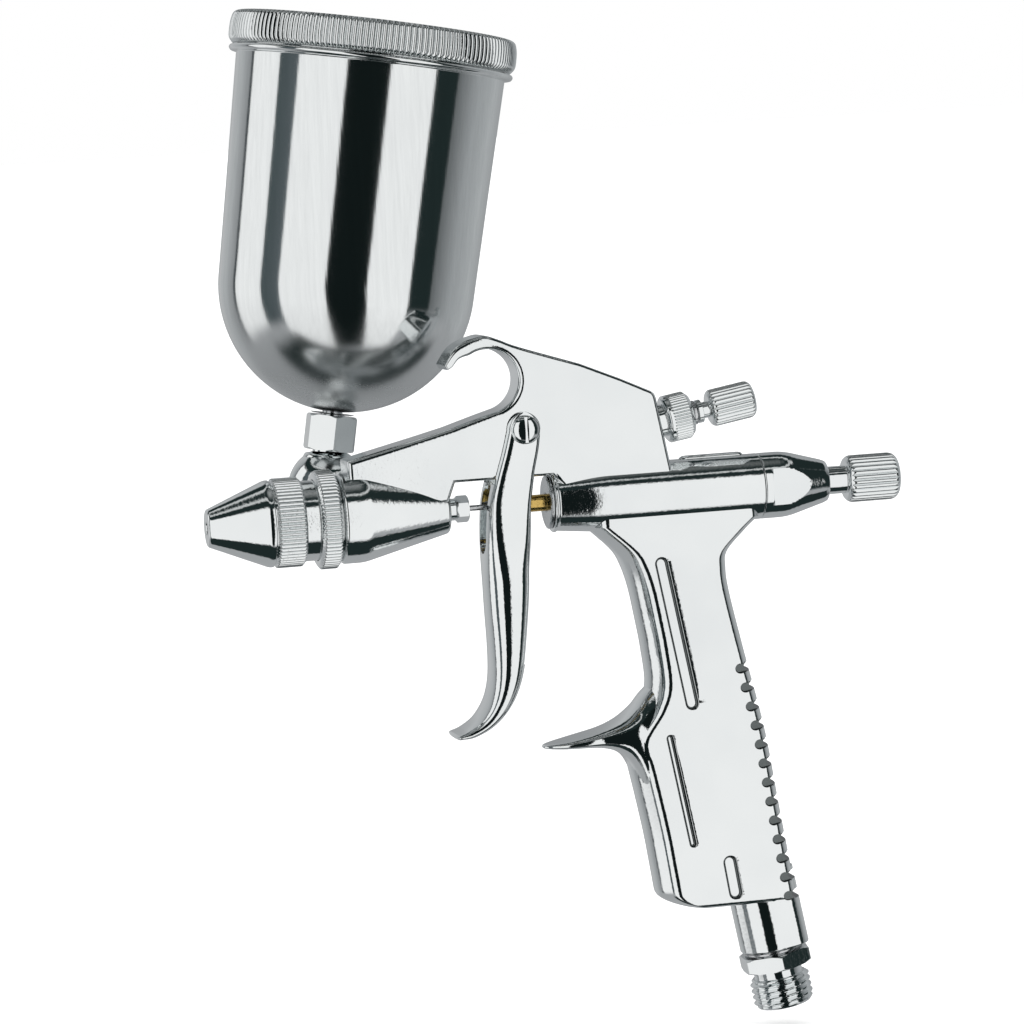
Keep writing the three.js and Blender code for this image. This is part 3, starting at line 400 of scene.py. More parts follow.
def whole(name, solid, material, body, node, sharp=32):
    """A finished piece that doesn't need joining."""
    finished(new_object(name, solid), material, body, node, sharp)


# Finishes -----------------------------------------------------------------------------------

class Wire:
    """A node's output that can be used in sums with numbers and other wires."""

    def __init__(self, finish, socket):
        self.finish, self.socket = finish, socket

    def sum(self, operation, first, second):
        """Node that adds or multiplies two values."""
        inputs = {0: first, 1: second}
        return self.finish.node("ShaderNodeMath", inputs, operation=operation)["Value"]

    def __add__(self, other):
        return self.sum("ADD", self, other)

    def __radd__(self, other):
        return self.sum("ADD", other, self)

    def __mul__(self, other):
        return self.sum("MULTIPLY", self, other)

    def __rmul__(self, other):
        return self.sum("MULTIPLY", other, self)


class Finish:
    """A material whose nodes are made by one method and joined by wires."""

    def __init__(self, name):
        self.material = bpy.data.materials.new(name)
        self.material.use_nodes = True
        self.tree = self.material.node_tree
        self.tree.nodes.clear()

    def node(self, kind, inputs=(), **settings):
        """Adds a node: its settings first, then each socket's value or wire. Returns its outputs."""
        made = self.tree.nodes.new(kind)
        for key, value in settings.items():
            setattr(made, key, value)
        for key, value in dict(inputs).items():
            if isinstance(value, Wire):
                self.tree.links.new(value.socket, made.inputs[key])
            else:
                made.inputs[key].default_value = value
        return {o.name: Wire(self, o) for o in made.outputs if o.enabled}

    def place(self, scale=(1, 1, 1), turn=(0, 0, 0), centre=(0, 0, 0)):
        """Object coordinates moved to a centre, turned and scaled."""
        where = self.node("ShaderNodeTexCoord")["Object"]
        moved = self.node("ShaderNodeVectorMath", {0: where, 1: centre}, operation="SUBTRACT")
        return self.node("ShaderNodeMapping", {
            "Vector": moved["Vector"], "Rotation": turn, "Scale": scale})["Vector"]

    def noise(self, where, scale, detail=2.0, rough=0.5):
        """Soft noise, mostly between 0.3 and 0.7."""
        return self.node("ShaderNodeTexNoise", {
            "Vector": where, "Scale": scale, "Detail": detail, "Roughness": rough})["Fac"]

    def blend(self, share, first, second):
        """Colour between two shades or wires by a share."""
        first, second = (c if isinstance(c, Wire) else (*c, 1) for c in (first, second))
        inputs = {"Factor": share, 6: first, 7: second}
        return self.node("ShaderNodeMix", inputs, data_type="RGBA")["Result"]

    def band(self, value, low, high):
        """0 to 1 as the value goes from low to high, held inside."""
        inputs = {"Value": value, "From Min": low, "From Max": high}
        return self.node("ShaderNodeMapRange", inputs, clamp=True)["Result"]

    def bump(self, height, distance, strength):
        """Normal tilted by a height."""
        return self.node("ShaderNodeBump", {
            "Height": height, "Distance": distance, "Strength": strength})["Normal"]

    def surface(self, values):
        """Ends the nodes in one shader. Values that are the same everywhere go on its sockets."""
        shader = self.node("ShaderNodeBsdfPrincipled", values)["BSDF"]
        self.node("ShaderNodeOutputMaterial", {"Surface": shader})
        return self.material


def metal(name, light, dark, low, high, grain, wave=0.0):
    """Metal with faint handling marks: shade and roughness follow soft noise, fine marks add to
    the roughness, and a bump gives the grain. Wave adds a casting's slow bump, paints shade
    into its marked hollows and makes them rougher."""
    f = Finish(name)
    soft = f.noise(f.place(), 55, 3.0)
    fine = f.noise(f.place(), 1400, 3.0, 0.6)
    marks = f.band(f.noise(f.place((1, 1, 0.25), (0.4, 0.2, 0.7)), 420, 4.0, 0.7), 0.56, 0.72)
    smudge = f.band(soft, 0.35, 0.7)
    rough = low + (high - low) * (0.45 * smudge + 0.35 * fine + 0.4 * marks)
    height = fine * grain + soft * wave
    shade = f.blend(f.band(soft, 0.3, 0.75), light, dark)
    if wave:
        hollow_shade_and_dulling = f.node("ShaderNodeAttribute", attribute_name="hollow_shade_and_dulling")["Fac"]
        # Painted shade: the marked hollow walls are darkened towards this near-black tone. The roughness
        # added below is real dulling.
        shade = f.blend(0.85 * hollow_shade_and_dulling, shade, (0.03, 0.045, 0.045))
        rough = rough + 0.2 * hollow_shade_and_dulling
    return f.surface({
        "Base Color": shade,
        "Metallic": 1.0,
        "Roughness": rough,
        "Normal": f.bump(height, 0.0004, 0.25),
    })


def bowl_metal(name, light, dark, low, high, centre, way):
    """Polished bowl: fine streaks run up its wall, and its round bottom is brushed duller."""
    f = Finish(name)
    tilt = Vector(UP).rotation_difference(Vector(way)).to_euler()
    turn = tuple(-angle for angle in tilt)
    where = f.place((1, 1, 1), turn, centre)
    height = f.node("ShaderNodeSeparateXYZ", {"Vector": where})["Z"]
    streaks = f.noise(f.place((1, 1, 0.03), turn, centre), 2400, 3.0, 0.6)
    soft = f.noise(f.place(), 45, 3.0)
    dull = f.band(height + 0.006 * soft, 0.047, 0.030)
    rough = low + (high - low) * (0.5 * streaks + 0.5 * soft) + 0.2 * dull
    lines = f.band(f.noise(f.place((1, 1, 0.02), turn, centre), 900, 4.0, 0.7), 0.35, 0.75)
    shade = f.blend(0.35 * lines + 0.2 * soft, light, tuple(0.8 * c for c in dark))
    shade = f.blend(dull, shade, tuple(0.78 * c for c in dark))
    return f.surface({
        "Base Color": shade,
        "Metallic": 1.0,
        "Roughness": rough,
        "Normal": f.bump(streaks, 0.00003, 0.15),
    })


def solid_finish(name, light, dark, low, high, scale):
    """Rubber or plastic with a fine moulded grain."""
    f = Finish(name)
    grain = f.noise(f.place(), scale, 3.0, 0.6)
    return f.surface({
        "Base Color": f.blend(f.band(grain, 0.3, 0.7), light, dark),
        "Roughness": low + (high - low) * grain,
        "Normal": f.bump(grain, 0.0002, 0.3),
    })


def finish(name):
    """The finish of that name, made once."""
    known = bpy.data.materials.get("gun_" + name)
    if known:
        return known
    looks = bpy.context.scene.spray_gun_looks
    light, dark = tuple(looks.chrome_light), tuple(looks.chrome_shade)
    makers = {
        "chrome": lambda n: metal(n, light, dark, 0.02, looks.haze, 0.15),
        # The cast finish paints shade into the casting's marked hollows and makes them rougher.
        "cast_chrome": lambda n: metal(n, light, dark, 0.03, looks.haze + 0.03, 0.2, 0.5),
        "satin": lambda n: metal(n, (0.52, 0.54, 0.55), (0.42, 0.44, 0.45), 0.16, 0.32, 0.6),
        "steel": lambda n: metal(n, (0.62, 0.63, 0.64), (0.5, 0.51, 0.52), 0.12, 0.28, 0.5),
        "brass": lambda n: metal(n, (0.72, 0.5, 0.16), (0.55, 0.36, 0.1), 0.14, 0.3, 0.5),
        "bowl": lambda n: bowl_metal(n, light, dark, 0.03, looks.haze + 0.06,
                                     tuple((CUP_AT - ORIGIN) * MM), tuple(CUP_UP)),
        "rubber": lambda n: solid_finish(n, (0.02, 0.02, 0.02), (0.035, 0.035, 0.035), 0.5, 0.7, 900),
        "plastic": lambda n: solid_finish(n, (0.8, 0.78, 0.7), (0.7, 0.68, 0.6), 0.4, 0.6, 700),
    }
    return makers[name]("gun_" + name)


# Outlines of the casting and the trigger -----------------------------------------------------

def web_outline():
    """Side outline of the web with its hanging hook, and the edge radius at each point."""
    hook_x, hook_z, hook_r = -12.8, 27.0, 6.7
    under = np.vstack([
        [(WEB_START_X - BARREL_X, 2.0), (WEB_START_X - BARREL_X, 12.2), (-28.4, 15.8)],
        through([(-21.8, 17.4), (-15.1, 19.4), (hook_x + 1.2, 20.4)], 12),
        arc((hook_x, hook_z), hook_r, -1.37, 2.1, 40),
        through([(-16.2, 32.75), (-18.7, 32.1), (-20.3, 30.5), (-21.4, 29.9)], 14)[1:],
    ])
    over = np.vstack([
        through([(-21.9, 30.9), (-19.7, 34.1), (-17.4, 35.6), (-15.2, 36.3), (hook_x, 36.6),
                 (-9.7, 35.5), (-5.5, 33.7), (7.4, 29.3)], 50),
        [(15.9, 25.6), (22.6, 22.4), (23.3, 21.8), (23.6, 20.9), (26.4, 4.2)],
        [(26.4, 2.0), (3.0, 2.0), (0.0, 6.0)],
        [(HEAD_END_X - BARREL_X + 1.2, 6.0), (HEAD_END_X - BARREL_X - 0.4, 2.0)],
    ])
    points = np.vstack([under, over]) + [BARREL_X, 0]
    away = np.linalg.norm(points - [BARREL_X - 21.6, 30.4], axis=1)
    return points, 0.3 + 0.8 * ease(0.5, 7, away)


FRONT_EDGE = [
    (7.5, -6), (12.9, -11.3), (14.9, -15.1), (16.3, -20), (17.4, -26.6), (18.3, -33), (18.8, -40.7),
    (17, -46), (13.2, -51.5), (12.9, -54.5), (14, -58.5), (16.4, -71.5), (17.6, -80), (18.8, GRIP_END_Z),
]
REAR_EDGE = [
    (45.4, -6), (42.1, -8.6), (37.7, -12.8), (37.1, -16.4), (37.6, -21.8), (40.1, -34.4),
    (43.8, -52), (46.2, -69.6), (49, GRIP_END_Z),
]


def edge_x(edge, z):
    """X of a grip edge at height z."""
    path = through(edge, 400)
    return np.interp(-np.asarray(z, float), -path[:, 1], path[:, 0]) + BARREL_X


def grip_grid():
    """Grip as levels down z. Each level's half section runs along a front bow x = x₀ + bow·t²,
    a tight corner, a flat side and a rear quarter of the curve |x|^2.4 + |y|^2.4 = 1."""
    edge = 1.6
    fall = np.linspace(0, math.pi / 2, 7)[1:]
    z = np.concatenate([[-3.0], np.linspace(-6, GRIP_END_Z + edge, 150),
                        GRIP_END_Z + edge - edge * np.sin(fall)])
    inset = np.concatenate([np.zeros(151), edge * (1 - np.cos(fall))])
    level = np.minimum(z, -6)
    toe = 5.0 * ease(-85, -90.2, level) ** 2
    x0 = edge_x(FRONT_EDGE, level) + inset + toe
    x1 = edge_x(REAR_EDGE, level) - inset
    half = 5.5 + (GRIP_HALF - 5.5) * ease(3, 13.5, -z) - inset
    bow, corner, back = 2.0, 1.3, 3.2
    t = np.linspace(0, 1, 12)
    front_x, front_y = bow * t**2, t
    slope = 2 * bow / 6.7
    u = np.linspace(0, 1, 8)[1:]
    hook_x = bow + 2 * u * (1 - u) * slope * corner + u**2 * (slope * corner + corner)
    hook_y = (2 * u * (1 - u) + u**2) * corner
    v = np.linspace(0, 1, 9)[1:]
    q = np.linspace(math.pi / 2, 0, 18)[1:]
    rear_x, rear_y = np.abs(np.cos(q)) ** (2 / 2.4), np.abs(np.sin(q)) ** (2 / 2.4)
    x0, x1, half = x0[:, None], x1[:, None], half[:, None]
    flat_from = x0 + hook_x[-1]
    flat_to = x1 - back
    xs = np.hstack([
        x0 + front_x, x0 + hook_x, flat_from + (flat_to - flat_from) * v, flat_to + back * rear_x,
    ])
    ys = np.hstack([
        (half - corner) * front_y, half - corner + hook_y, half + 0 * v, half * rear_y,
    ])
    xs = np.hstack([xs, xs[:, -2:0:-1]])
    ys = np.hstack([ys, -ys[:, -2:0:-1]])
    return np.stack([xs, ys, z[:, None] + 0 * xs], -1)


def spur_grid():
    """Finger spur as sections along x: |y/w|^2.6 + |z/h|^2.6 = 1 between its top and underside,
    drawn in towards the tip and flared where it meets the grip."""
    top = through([(-4.7, -52.3), (-4.2, -51.9), (1.3, -50.9), (7.9, -49.4), (12.3, -47.6),
                   (15.6, -45.0), (17.8, -42.4), (21, -39.5)], 90)
    under = through([(-4.7, -52.5), (-4.1, -52.8), (-1.1, -53.05), (7.7, -53.5), (12.2, -55.3),
                     (14.6, -59), (17, -66), (21, -74)], 90)
    x = np.concatenate([np.linspace(-4.7, 0, 14), np.linspace(0.4, 20.5, 44)])
    high = np.interp(x, top[:, 0], top[:, 1])
    low = np.interp(x, under[:, 0], under[:, 1])
    wide = 6.1 * np.sqrt(np.clip(1 - ((np.minimum(x, 6) - 6) / 10.75) ** 2, 0.0, 1))
    wide = np.maximum(wide, 0.05) + 1.7 * ease(7, 16, x)
    a = np.linspace(0, 2 * math.pi, 72, endpoint=False)
    power = 2 / 2.6
    across = np.sign(np.cos(a)) * np.abs(np.cos(a)) ** power
    rise = np.sign(np.sin(a)) * np.abs(np.sin(a)) ** power
    y = wide[:, None] * across
    z = ((high + low) / 2)[:, None] + ((high - low) / 2)[:, None] * rise
    return np.stack([x[:, None] + BARREL_X + 0 * y, y, z], -1)


TRIGGER_FACE = [
    (-TRIGGER_TOP_R, PIVOT_Z), (-5.1, 11.6), (-7.1, 5.5), (-8.5, 0), (-9.4, -10), (-9.5, -20),
    (-9.3, -29), (-9.4, -35), (-10, -39), (-11.2, -42.2), (-13.2, -44.9), (-15.8, -46.7), (-17.9, -47.6),
]
TRIGGER_BACK = [
    (TRIGGER_TOP_R, PIVOT_Z), (3.1, 12), (1.8, 6.5), (0.7, -1), (0.6, -9), (0.3, -17), (-1, -27), (-2.4, -35),
    (-4.2, -40), (-6.8, -43.9), (-10.2, -46.9), (-14.2, -48.7), (-17.4, -48.95),
]


def trigger_grid():
    """Trigger lever as sections between its face and its back: |u|^p + |y/w|^p = 1, with p from
    7 round the pivot down to 2.7 at the finger, closed by a round top and a round tip."""
    top = arc((0, PIVOT_Z), TRIGGER_TOP_R, 1.5, 0, 14)[:-1]
    face, back = through(TRIGGER_FACE, 110), through(TRIGGER_BACK, 110)
    end = np.linspace(0, 1.45, 8)[1:, None]
    middle, way = (face[-1] + back[-1]) / 2, np.array([-0.6, -0.1])
    face_end = middle + (face[-1] - middle) * np.cos(end) + way * np.sin(end)
    back_end = middle + (back[-1] - middle) * np.cos(end) + way * np.sin(end)
    face = np.vstack([top * [-1, 1], face, face_end])
    back = np.vstack([top, back, back_end])
    z = (face[:, 1] + back[:, 1]) / 2
    power = 7 - 4.3 * ease(-6, 16, -z)
    wide = 6.8 - 0.9 * ease(43, 49.5, -z)
    wide[-7:] *= 0.35 + 0.65 * np.cos(end[:, 0])
    a = np.linspace(0, 2 * math.pi, 88, endpoint=False)[None]
    share = 2 / power[:, None]
    u = np.sign(np.cos(a)) * np.abs(np.cos(a)) ** share
    y = wide[:, None] * np.sign(np.sin(a)) * np.abs(np.sin(a)) ** share
    xz = (face + back)[:, None] / 2 + (back - face)[:, None] / 2 * u[..., None]
    return np.stack([xz[..., 0] + PIVOT_X, y, xz[..., 1]], -1)


# Properties ---------------------------------------------------------------------------------

class SPRAYGUN_PG_sizes(bpy.types.PropertyGroup):
    """Sizes that a maker would change."""

    lid_ribs: bpy.props.IntProperty(
        name="Lid ribs", description="Ribs round the lid's edge", default=150, min=60, max=200)
    lid_rib_depth: bpy.props.FloatProperty(
        name="Lid rib depth", description="Depth between the lid's ribs", default=0.00052,
        unit="LENGTH", subtype="DISTANCE")
    ring_ribs: bpy.props.IntProperty(
        name="Ring ribs", description="Ribs round the air cap and its lock ring", default=62)
    knob_ribs: bpy.props.IntProperty(
        name="Knob ribs", description="Ribs round each adjusting knob", default=28)
    grooves: bpy.props.IntProperty(
        name="Grip grooves", description="Grooves across the grip's back", default=13)
    groove_depth: bpy.props.FloatProperty(
        name="Groove depth", description="Depth of the grip's grooves", default=0.0040,
        unit="LENGTH", subtype="DISTANCE")
    panel_depth: bpy.props.FloatProperty(
        name="Panel depth", description="Depth of the sunk panels", default=0.0009,
        unit="LENGTH", subtype="DISTANCE")
    thread_pitch: bpy.props.FloatProperty(
        name="Thread pitch", description="Pitch of the air inlet's thread", default=0.001337,
        unit="LENGTH", subtype="DISTANCE")


class SPRAYGUN_PG_looks(bpy.types.PropertyGroup):
    """Colours and light."""

    chrome_light: bpy.props.FloatVectorProperty(
        name="Chrome", description="Lighter tone of the plating", subtype="COLOR",
        default=(0.82, 0.842, 0.842), min=0, max=1)
    chrome_shade: bpy.props.FloatVectorProperty(
        name="Chrome shade", description="Darker tone of the plating", subtype="COLOR",
        default=(0.77, 0.795, 0.80), min=0, max=1)
    haze: bpy.props.FloatProperty(
        name="Haze", description="Roughness of the plating at its dullest", default=0.07,
        min=0, max=1, subtype="FACTOR")
    card_shade: bpy.props.FloatVectorProperty(
        name="Dark cards", description="Tone of the dark cards round the stage", subtype="COLOR",
        default=(0.016, 0.026, 0.026), min=0, max=1)


# The stage ----------------------------------------------------------------------------------

CAMERA_TURN = math.radians(-12)
CAMERA_RISE = math.radians(5)
CAMERA_ROLL = math.radians(3.4)
CAMERA_AWAY = 0.95
CAMERA_LENS = 156.7
CAMERA_TARGET = np.array([65.7, 0.0, -1.5])


def studio_tones(turn, rise, dark):
    """Light of the studio at each azimuth and elevation in degrees: upright white, dark and grey
    cards on a wall, a dark ceiling, grey below and a dark strip under the barrel."""
    white, grey, side = (1.0, 1.0, 1.0), (0.46, 0.475, 0.485), (0.36, 0.375, 0.385)
    edge, black = (0.06, 0.07, 0.075), tuple(0.4 * c for c in dark)
    walls = ((-180, (0.3, 0.31, 0.32)), (-158, (0.52, 0.53, 0.54)), (-138, grey),
             (-121, (0.3, 0.31, 0.32)), (-120, edge), (-117, edge), (-116, white), (-82, white),
             (-81, (0.07, 0.09, 0.095)), (-62, (0.1, 0.12, 0.13)), (-61, white), (-18, white),
             (-17, black), (18.5, black), (19.5, white), (59, white), (60, dark), (82, dark),
             (84, (0.15, 0.16, 0.165)), (108, side), (140, grey), (180, (0.3, 0.31, 0.32)))
    places, shades = [w[0] for w in walls], np.array([w[1] for w in walls])
    tone = np.stack([np.interp(turn, places, shades[:, k]) for k in range(3)], -1)
    low = np.interp(turn, [-180, -64, -54, 50, 62, 180], [-22, -22, -54, -54, -22, -22])
    under = ease(low + 3, low - 7, rise)[..., None]
    tone = tone * (1 - under) + under * np.array([0.40, 0.41, 0.42])
    line = ease(57, 59, rise) * ease(64, 62, rise)
    over = ease(40, 45, rise)[..., None]
    ceiling = np.array(dark) + (0.3 * ease(66, 88, rise) + 0.6 * line)[..., None]
    tone = tone * (1 - over) + over * ceiling
    r, a = np.radians(rise), np.radians(turn) + CAMERA_TURN
    back = np.degrees(np.arctan2(np.sin(r), np.cos(r) * np.cos(a)))
    across = np.abs(np.cos(r) * np.sin(a))
    strip = (ease(-58, -62, back) * ease(-108, -104, back) * ease(0.85, 0.7, across))[..., None]
    return tone * (1 - strip) + strip * np.array(dark)


def studio(dark, radius=8.0):
    """Large ball round the stage that glows with the studio's tones and shows in reflections only."""
    turn, rise = np.meshgrid(np.linspace(-180, 180, 481), np.linspace(-90, 90, 181))
    a, r = np.radians(turn) + CAMERA_TURN, np.radians(rise)
    points = radius * np.stack([np.cos(r) * np.sin(a), -np.cos(r) * np.cos(a), np.sin(r)], -1)
    rows, columns = turn.shape
    index = np.arange(rows * columns).reshape(rows, columns)
    quads = np.stack([index[:-1, :-1], index[:-1, 1:], index[1:, 1:], index[1:, :-1]], -1)
    mesh = bpy.data.meshes.new("studio")
    mesh.from_pydata(points.reshape(-1, 3).tolist(), [], quads.reshape(-1, 4).tolist())
    tones = np.append(studio_tones(turn, rise, dark), np.ones((rows, columns, 1)), -1)
    mesh.attributes.new("tone", "FLOAT_COLOR", "POINT").data.foreach_set("color", tones.ravel())
    f = Finish("studio")
    tone = f.node("ShaderNodeAttribute", attribute_name="tone")["Color"]
    glow = f.node("ShaderNodeEmission", {"Color": tone, "Strength": 1.0})["Emission"]
    f.node("ShaderNodeOutputMaterial", {"Surface": glow})
    mesh.materials.append(f.material)
    made = bpy.data.objects.new("studio", mesh)
    bpy.context.scene.collection.objects.link(made)
    made.visible_camera = False
    made.visible_diffuse = False
    made.visible_shadow = False


class SPRAYGUN_OT_stage(bpy.types.Operator):
    """Pale floor, soft light, the studio for the reflections, and the camera."""

    bl_idname = "spray_gun.stage"
    bl_label = "Stage"

    def execute(self, context):
        scene = context.scene
        looks = scene.spray_gun_looks
        world = bpy.data.worlds.new("soft_studio")
        world.use_nodes = True
        world.node_tree.nodes["Background"].inputs["Color"].default_value = (1, 1, 1, 1)
        world.node_tree.nodes["Background"].inputs["Strength"].default_value = 1.0
        scene.world = world
        scene.view_settings.view_transform = "Standard"

        low = cad_box[0].z - 0.004
        mesh = bpy.data.meshes.new("floor")
        reach = 60.0
        mesh.from_pydata([(-reach, -reach, low), (reach, -reach, low), (reach, reach, low),
                          (-reach, reach, low)], [], [(0, 1, 2, 3)])
        f = Finish("pale_floor")
        mesh.materials.append(f.surface({
            "Base Color": f.blend(f.noise(f.place(), 3, 2.0), (0.97, 0.97, 0.97), (0.93, 0.93, 0.93)),
            "Roughness": 0.9,
            "Emission Color": (1, 1, 1, 1),
            "Emission Strength": 0.35,
        }))
        floor = bpy.data.objects.new("floor", mesh)
        scene.collection.objects.link(floor)
        floor.visible_glossy = False

        studio(tuple(looks.card_shade))

        back = Vector((math.sin(CAMERA_TURN) * math.cos(CAMERA_RISE),
                       -math.cos(CAMERA_TURN) * math.cos(CAMERA_RISE), math.sin(CAMERA_RISE)))
        target = Vector((CAMERA_TARGET - ORIGIN) * MM)
        data = bpy.data.cameras.new("camera")
        data.lens, data.sensor_width = CAMERA_LENS, 36.0
        data.clip_start, data.clip_end = 0.05, 200.0
        camera = bpy.data.objects.new("camera", data)
        scene.collection.objects.link(camera)
        camera.rotation_mode = "QUATERNION"
        look = (-back).to_track_quat("-Z", "Y").to_matrix()
        roll = Matrix.Rotation(-CAMERA_ROLL, 3, "Z")
        camera.rotation_quaternion = (look @ roll).to_quaternion()
        camera.location = target + back * CAMERA_AWAY
        scene.camera = camera
        return {"FINISHED"}


# Pieces -------------------------------------------------------------------------------------

class SPRAYGUN_OT_casting(bpy.types.Operator):
    """Cast body: head, web with the hook, barrel, grip with grooves and panels, spur and stub."""

    bl_idname = "spray_gun.casting"
    bl_label = "Cast body"

    def execute(self, context):
        sizes = context.scene.spray_gun_sizes
        head = knob([(0, 17.7), (8.5, 17.7), (8.5, HEAD_X), (9.2, HEAD_X), (9.7, HEAD_X + 0.6),
                     (9.7, CONE_X, 1.2), (5.0, HEAD_END_X - 0.4), (4.6, HEAD_END_X),
                     (0, HEAD_END_X)], sides=128)
        barrel = knob([(0, BARREL_X), (6.1, BARREL_X), (6.5, BARREL_X + 0.25), (6.5, BARREL_X + 0.75),
                       (6.25, BARREL_X + 1), (7.1, BARREL_X + 9.8, 2.5), (7.1, BARREL_END_X, 0.15),
                       (0, BARREL_END_X)], sides=128)
        outline, edge = web_outline()
        web = slab(outline, 5.0, edge)
        stub = knob([(0, -18), (7, -18), (7, 3.25, 0.4), (0, 3.25)], INLET_AT, INLET_WAY, sides=96)
        boss = knob([(0, 4), (4.4, 4), (4.4, 10.6, 0.3), (0, 10.6)], (SIDE_X, 0, 0), (0, 1, 0))
        rib = knob([(0, 102.6), (0.9, 103.4, 1), (0.9, 116.6, 1), (0, 117.4)],
                   (0, 0, 6.85), ALONG, sides=32)
        heel_outline = np.vstack([
            [(0.6, -6.9), (0.6, 6.9), (1.4, 7.5)],
            arc((3.6, 3.9), 3.6, math.pi / 2, 0, 12),
            arc((3.6, -3.9), 3.6, 0, -math.pi / 2, 12),
            [(1.4, -7.5)],
        ])
        levels = np.array([-14.0, 2.9, 3.1, 3.2])
        inset = np.array([0, 0, 0.1, 0.3])
        normal = inward(heel_outline)
        heel = heel_outline[None] + normal[None] * inset[:, None, None]
        heel = np.concatenate([heel, levels[:, None, None] + 0 * heel[..., :1]], -1)
        heel = shell(framed(heel, INLET_AT, INLET_WAY, ALONG), capped=True)

        cuts, hollows = [], []
        deep = sizes.panel_depth / MM
        for start, end, width in PANELS:
            start, end = np.add(start, [BARREL_X, 0]), np.add(end, [BARREL_X, 0])
            outline, cove = stadium(start, end, width), min(0.5, 0.35 * width)
            hollows.append((start, end, width / 2))
            cuts += [sunk(outline, GRIP_HALF, 0.2, cove, deep, side) for side in (-1, 1)]
        groove = sizes.groove_depth / MM
        for z in GROOVE_TOP_Z - GROOVE_STEP * np.arange(sizes.grooves):
            x = float(edge_x(REAR_EDGE, z)) - groove + GROOVE_R
            end = (x + 10, z + 1.4)
            pad = stadium((x, z), end, 2 * GROOVE_R)
            cuts += [sunk(pad, GRIP_HALF, 0.2, 0.3, 1.0, side) for side in (-1, 1)]
            cuts.append(prism(stadium((x + 2, z + 0.28), end, 2 * GROOVE_R), -9, 9))
            hollows.append(((x, z), end, GROOVE_R))
        cuts.append(knob([(0, 16), (6.9, 16), (6.9, 26), (3.9, 26), (3.9, 29), (0.9, 29),
                          (0.9, HEAD_END_X + 1), (0, HEAD_END_X + 1)], sides=48, soft=0))
        cuts.append(knob([(0, 73), (5, 73), (5, 84), (4.6, 84), (4.6, 101.2), (5.7, 101.2),
                          (5.7, 121), (0, 121)], sides=48, soft=0))
        cuts.append(drill(4.6, -6, 4, 48, INLET_AT, INLET_WAY))
        cuts.append(drill(3.6, -11, 4, 32, ADJUSTER_AT, ADJUSTER_WAY))
        cuts.append(drill(PIVOT_BORE_R, -6, 6, 32, (PIVOT_X, 0, PIVOT_Z), (0, 1, 0)))
        made = fused("gun_casting", [head, barrel, web, shell(grip_grid(), capped=True),
                                     shell(spur_grid(), capped=True), stub, heel, boss, rib], cuts)
        # Panel and groove walls get painted shade and extra roughness from the cast finish.
        mark_hollows(made.data, hollows)
        finished(made, finish("cast_chrome"), "gun", "gun_body", sharp=24)
        return {"FINISHED"}


class SPRAYGUN_OT_head_fittings(bpy.types.Operator):
    """Air cap, its lock ring, the needle's packing nut and the needle."""

    bl_idname = "spray_gun.head_fittings"
    bl_label = "Head fittings"

    def execute(self, context):
        count = context.scene.spray_gun_sizes.ring_ribs
        cap = ring([(1.5, 0), (3.75, 0), (4.05, 0.3), (9.2, 12.6, 0.5), (9.2, 13.5), (8.9, 13.6, 0.1),
                    (8.9, 14.0, 0.1), (9.5, 14.3), (9.5, 19.5), (8.8, 20.2), (8.6, 20.2), (8.6, 15.3),
                    (6.9, 15.3), (6.9, 11.6), (4.05, 3), (1.9, 1), (1.3, 0.7), (1.3, 0.3)],
                   sides=count * 8, soft=0.18, step=0.45, limit=within(14.05, 20.3, ribs(9.5, 0.52, count)))
        whole("air_cap_turned", cap, finish("chrome"), "cap", "air_cap")
        lock = ring([(9.5, 23), (10.5, 23.7), (10.5, 24.2), (10.5, 26.9), (9.8, 27.5), (8.6, 27.5),
                     (8.6, 23)], sides=(count + 6) * 8, soft=0.2, step=0.4,
                    limit=ribs(10.5, 0.52, count + 6))
        whole("lock_ring_knurled", lock, finish("chrome"), "lock_ring", "lock_ring")
        nut_x = HEAD_END_X + 0.1
        nut = ring([(2.45, 46.7), (2.45, nut_x), (2.35, nut_x), (2.35, nut_x + 1.5), (2.6, nut_x + 1.7),
                    (2.95, nut_x + 2), (2.95, nut_x + 4.0), (2.6, nut_x + 4.3), (0.7, nut_x + 4.3),
                    (0.7, 46.7)], sides=96, soft=0.1, step=0.4,
                   limit=within(nut_x + 1.6, nut_x + 5, hexagon(5)))
        whole("packing_nut_hex", nut, finish("chrome"), "gun", "needle_packing_nut")
        needle = knob([(0, 0.9), (0.2, 1.1), (0.6, 5), (0.6, 131), (0, 131)], sides=32, soft=0.02)
        whole("needle_ground", needle, finish("steel"), "needle", "fluid_needle")
        return {"FINISHED"}


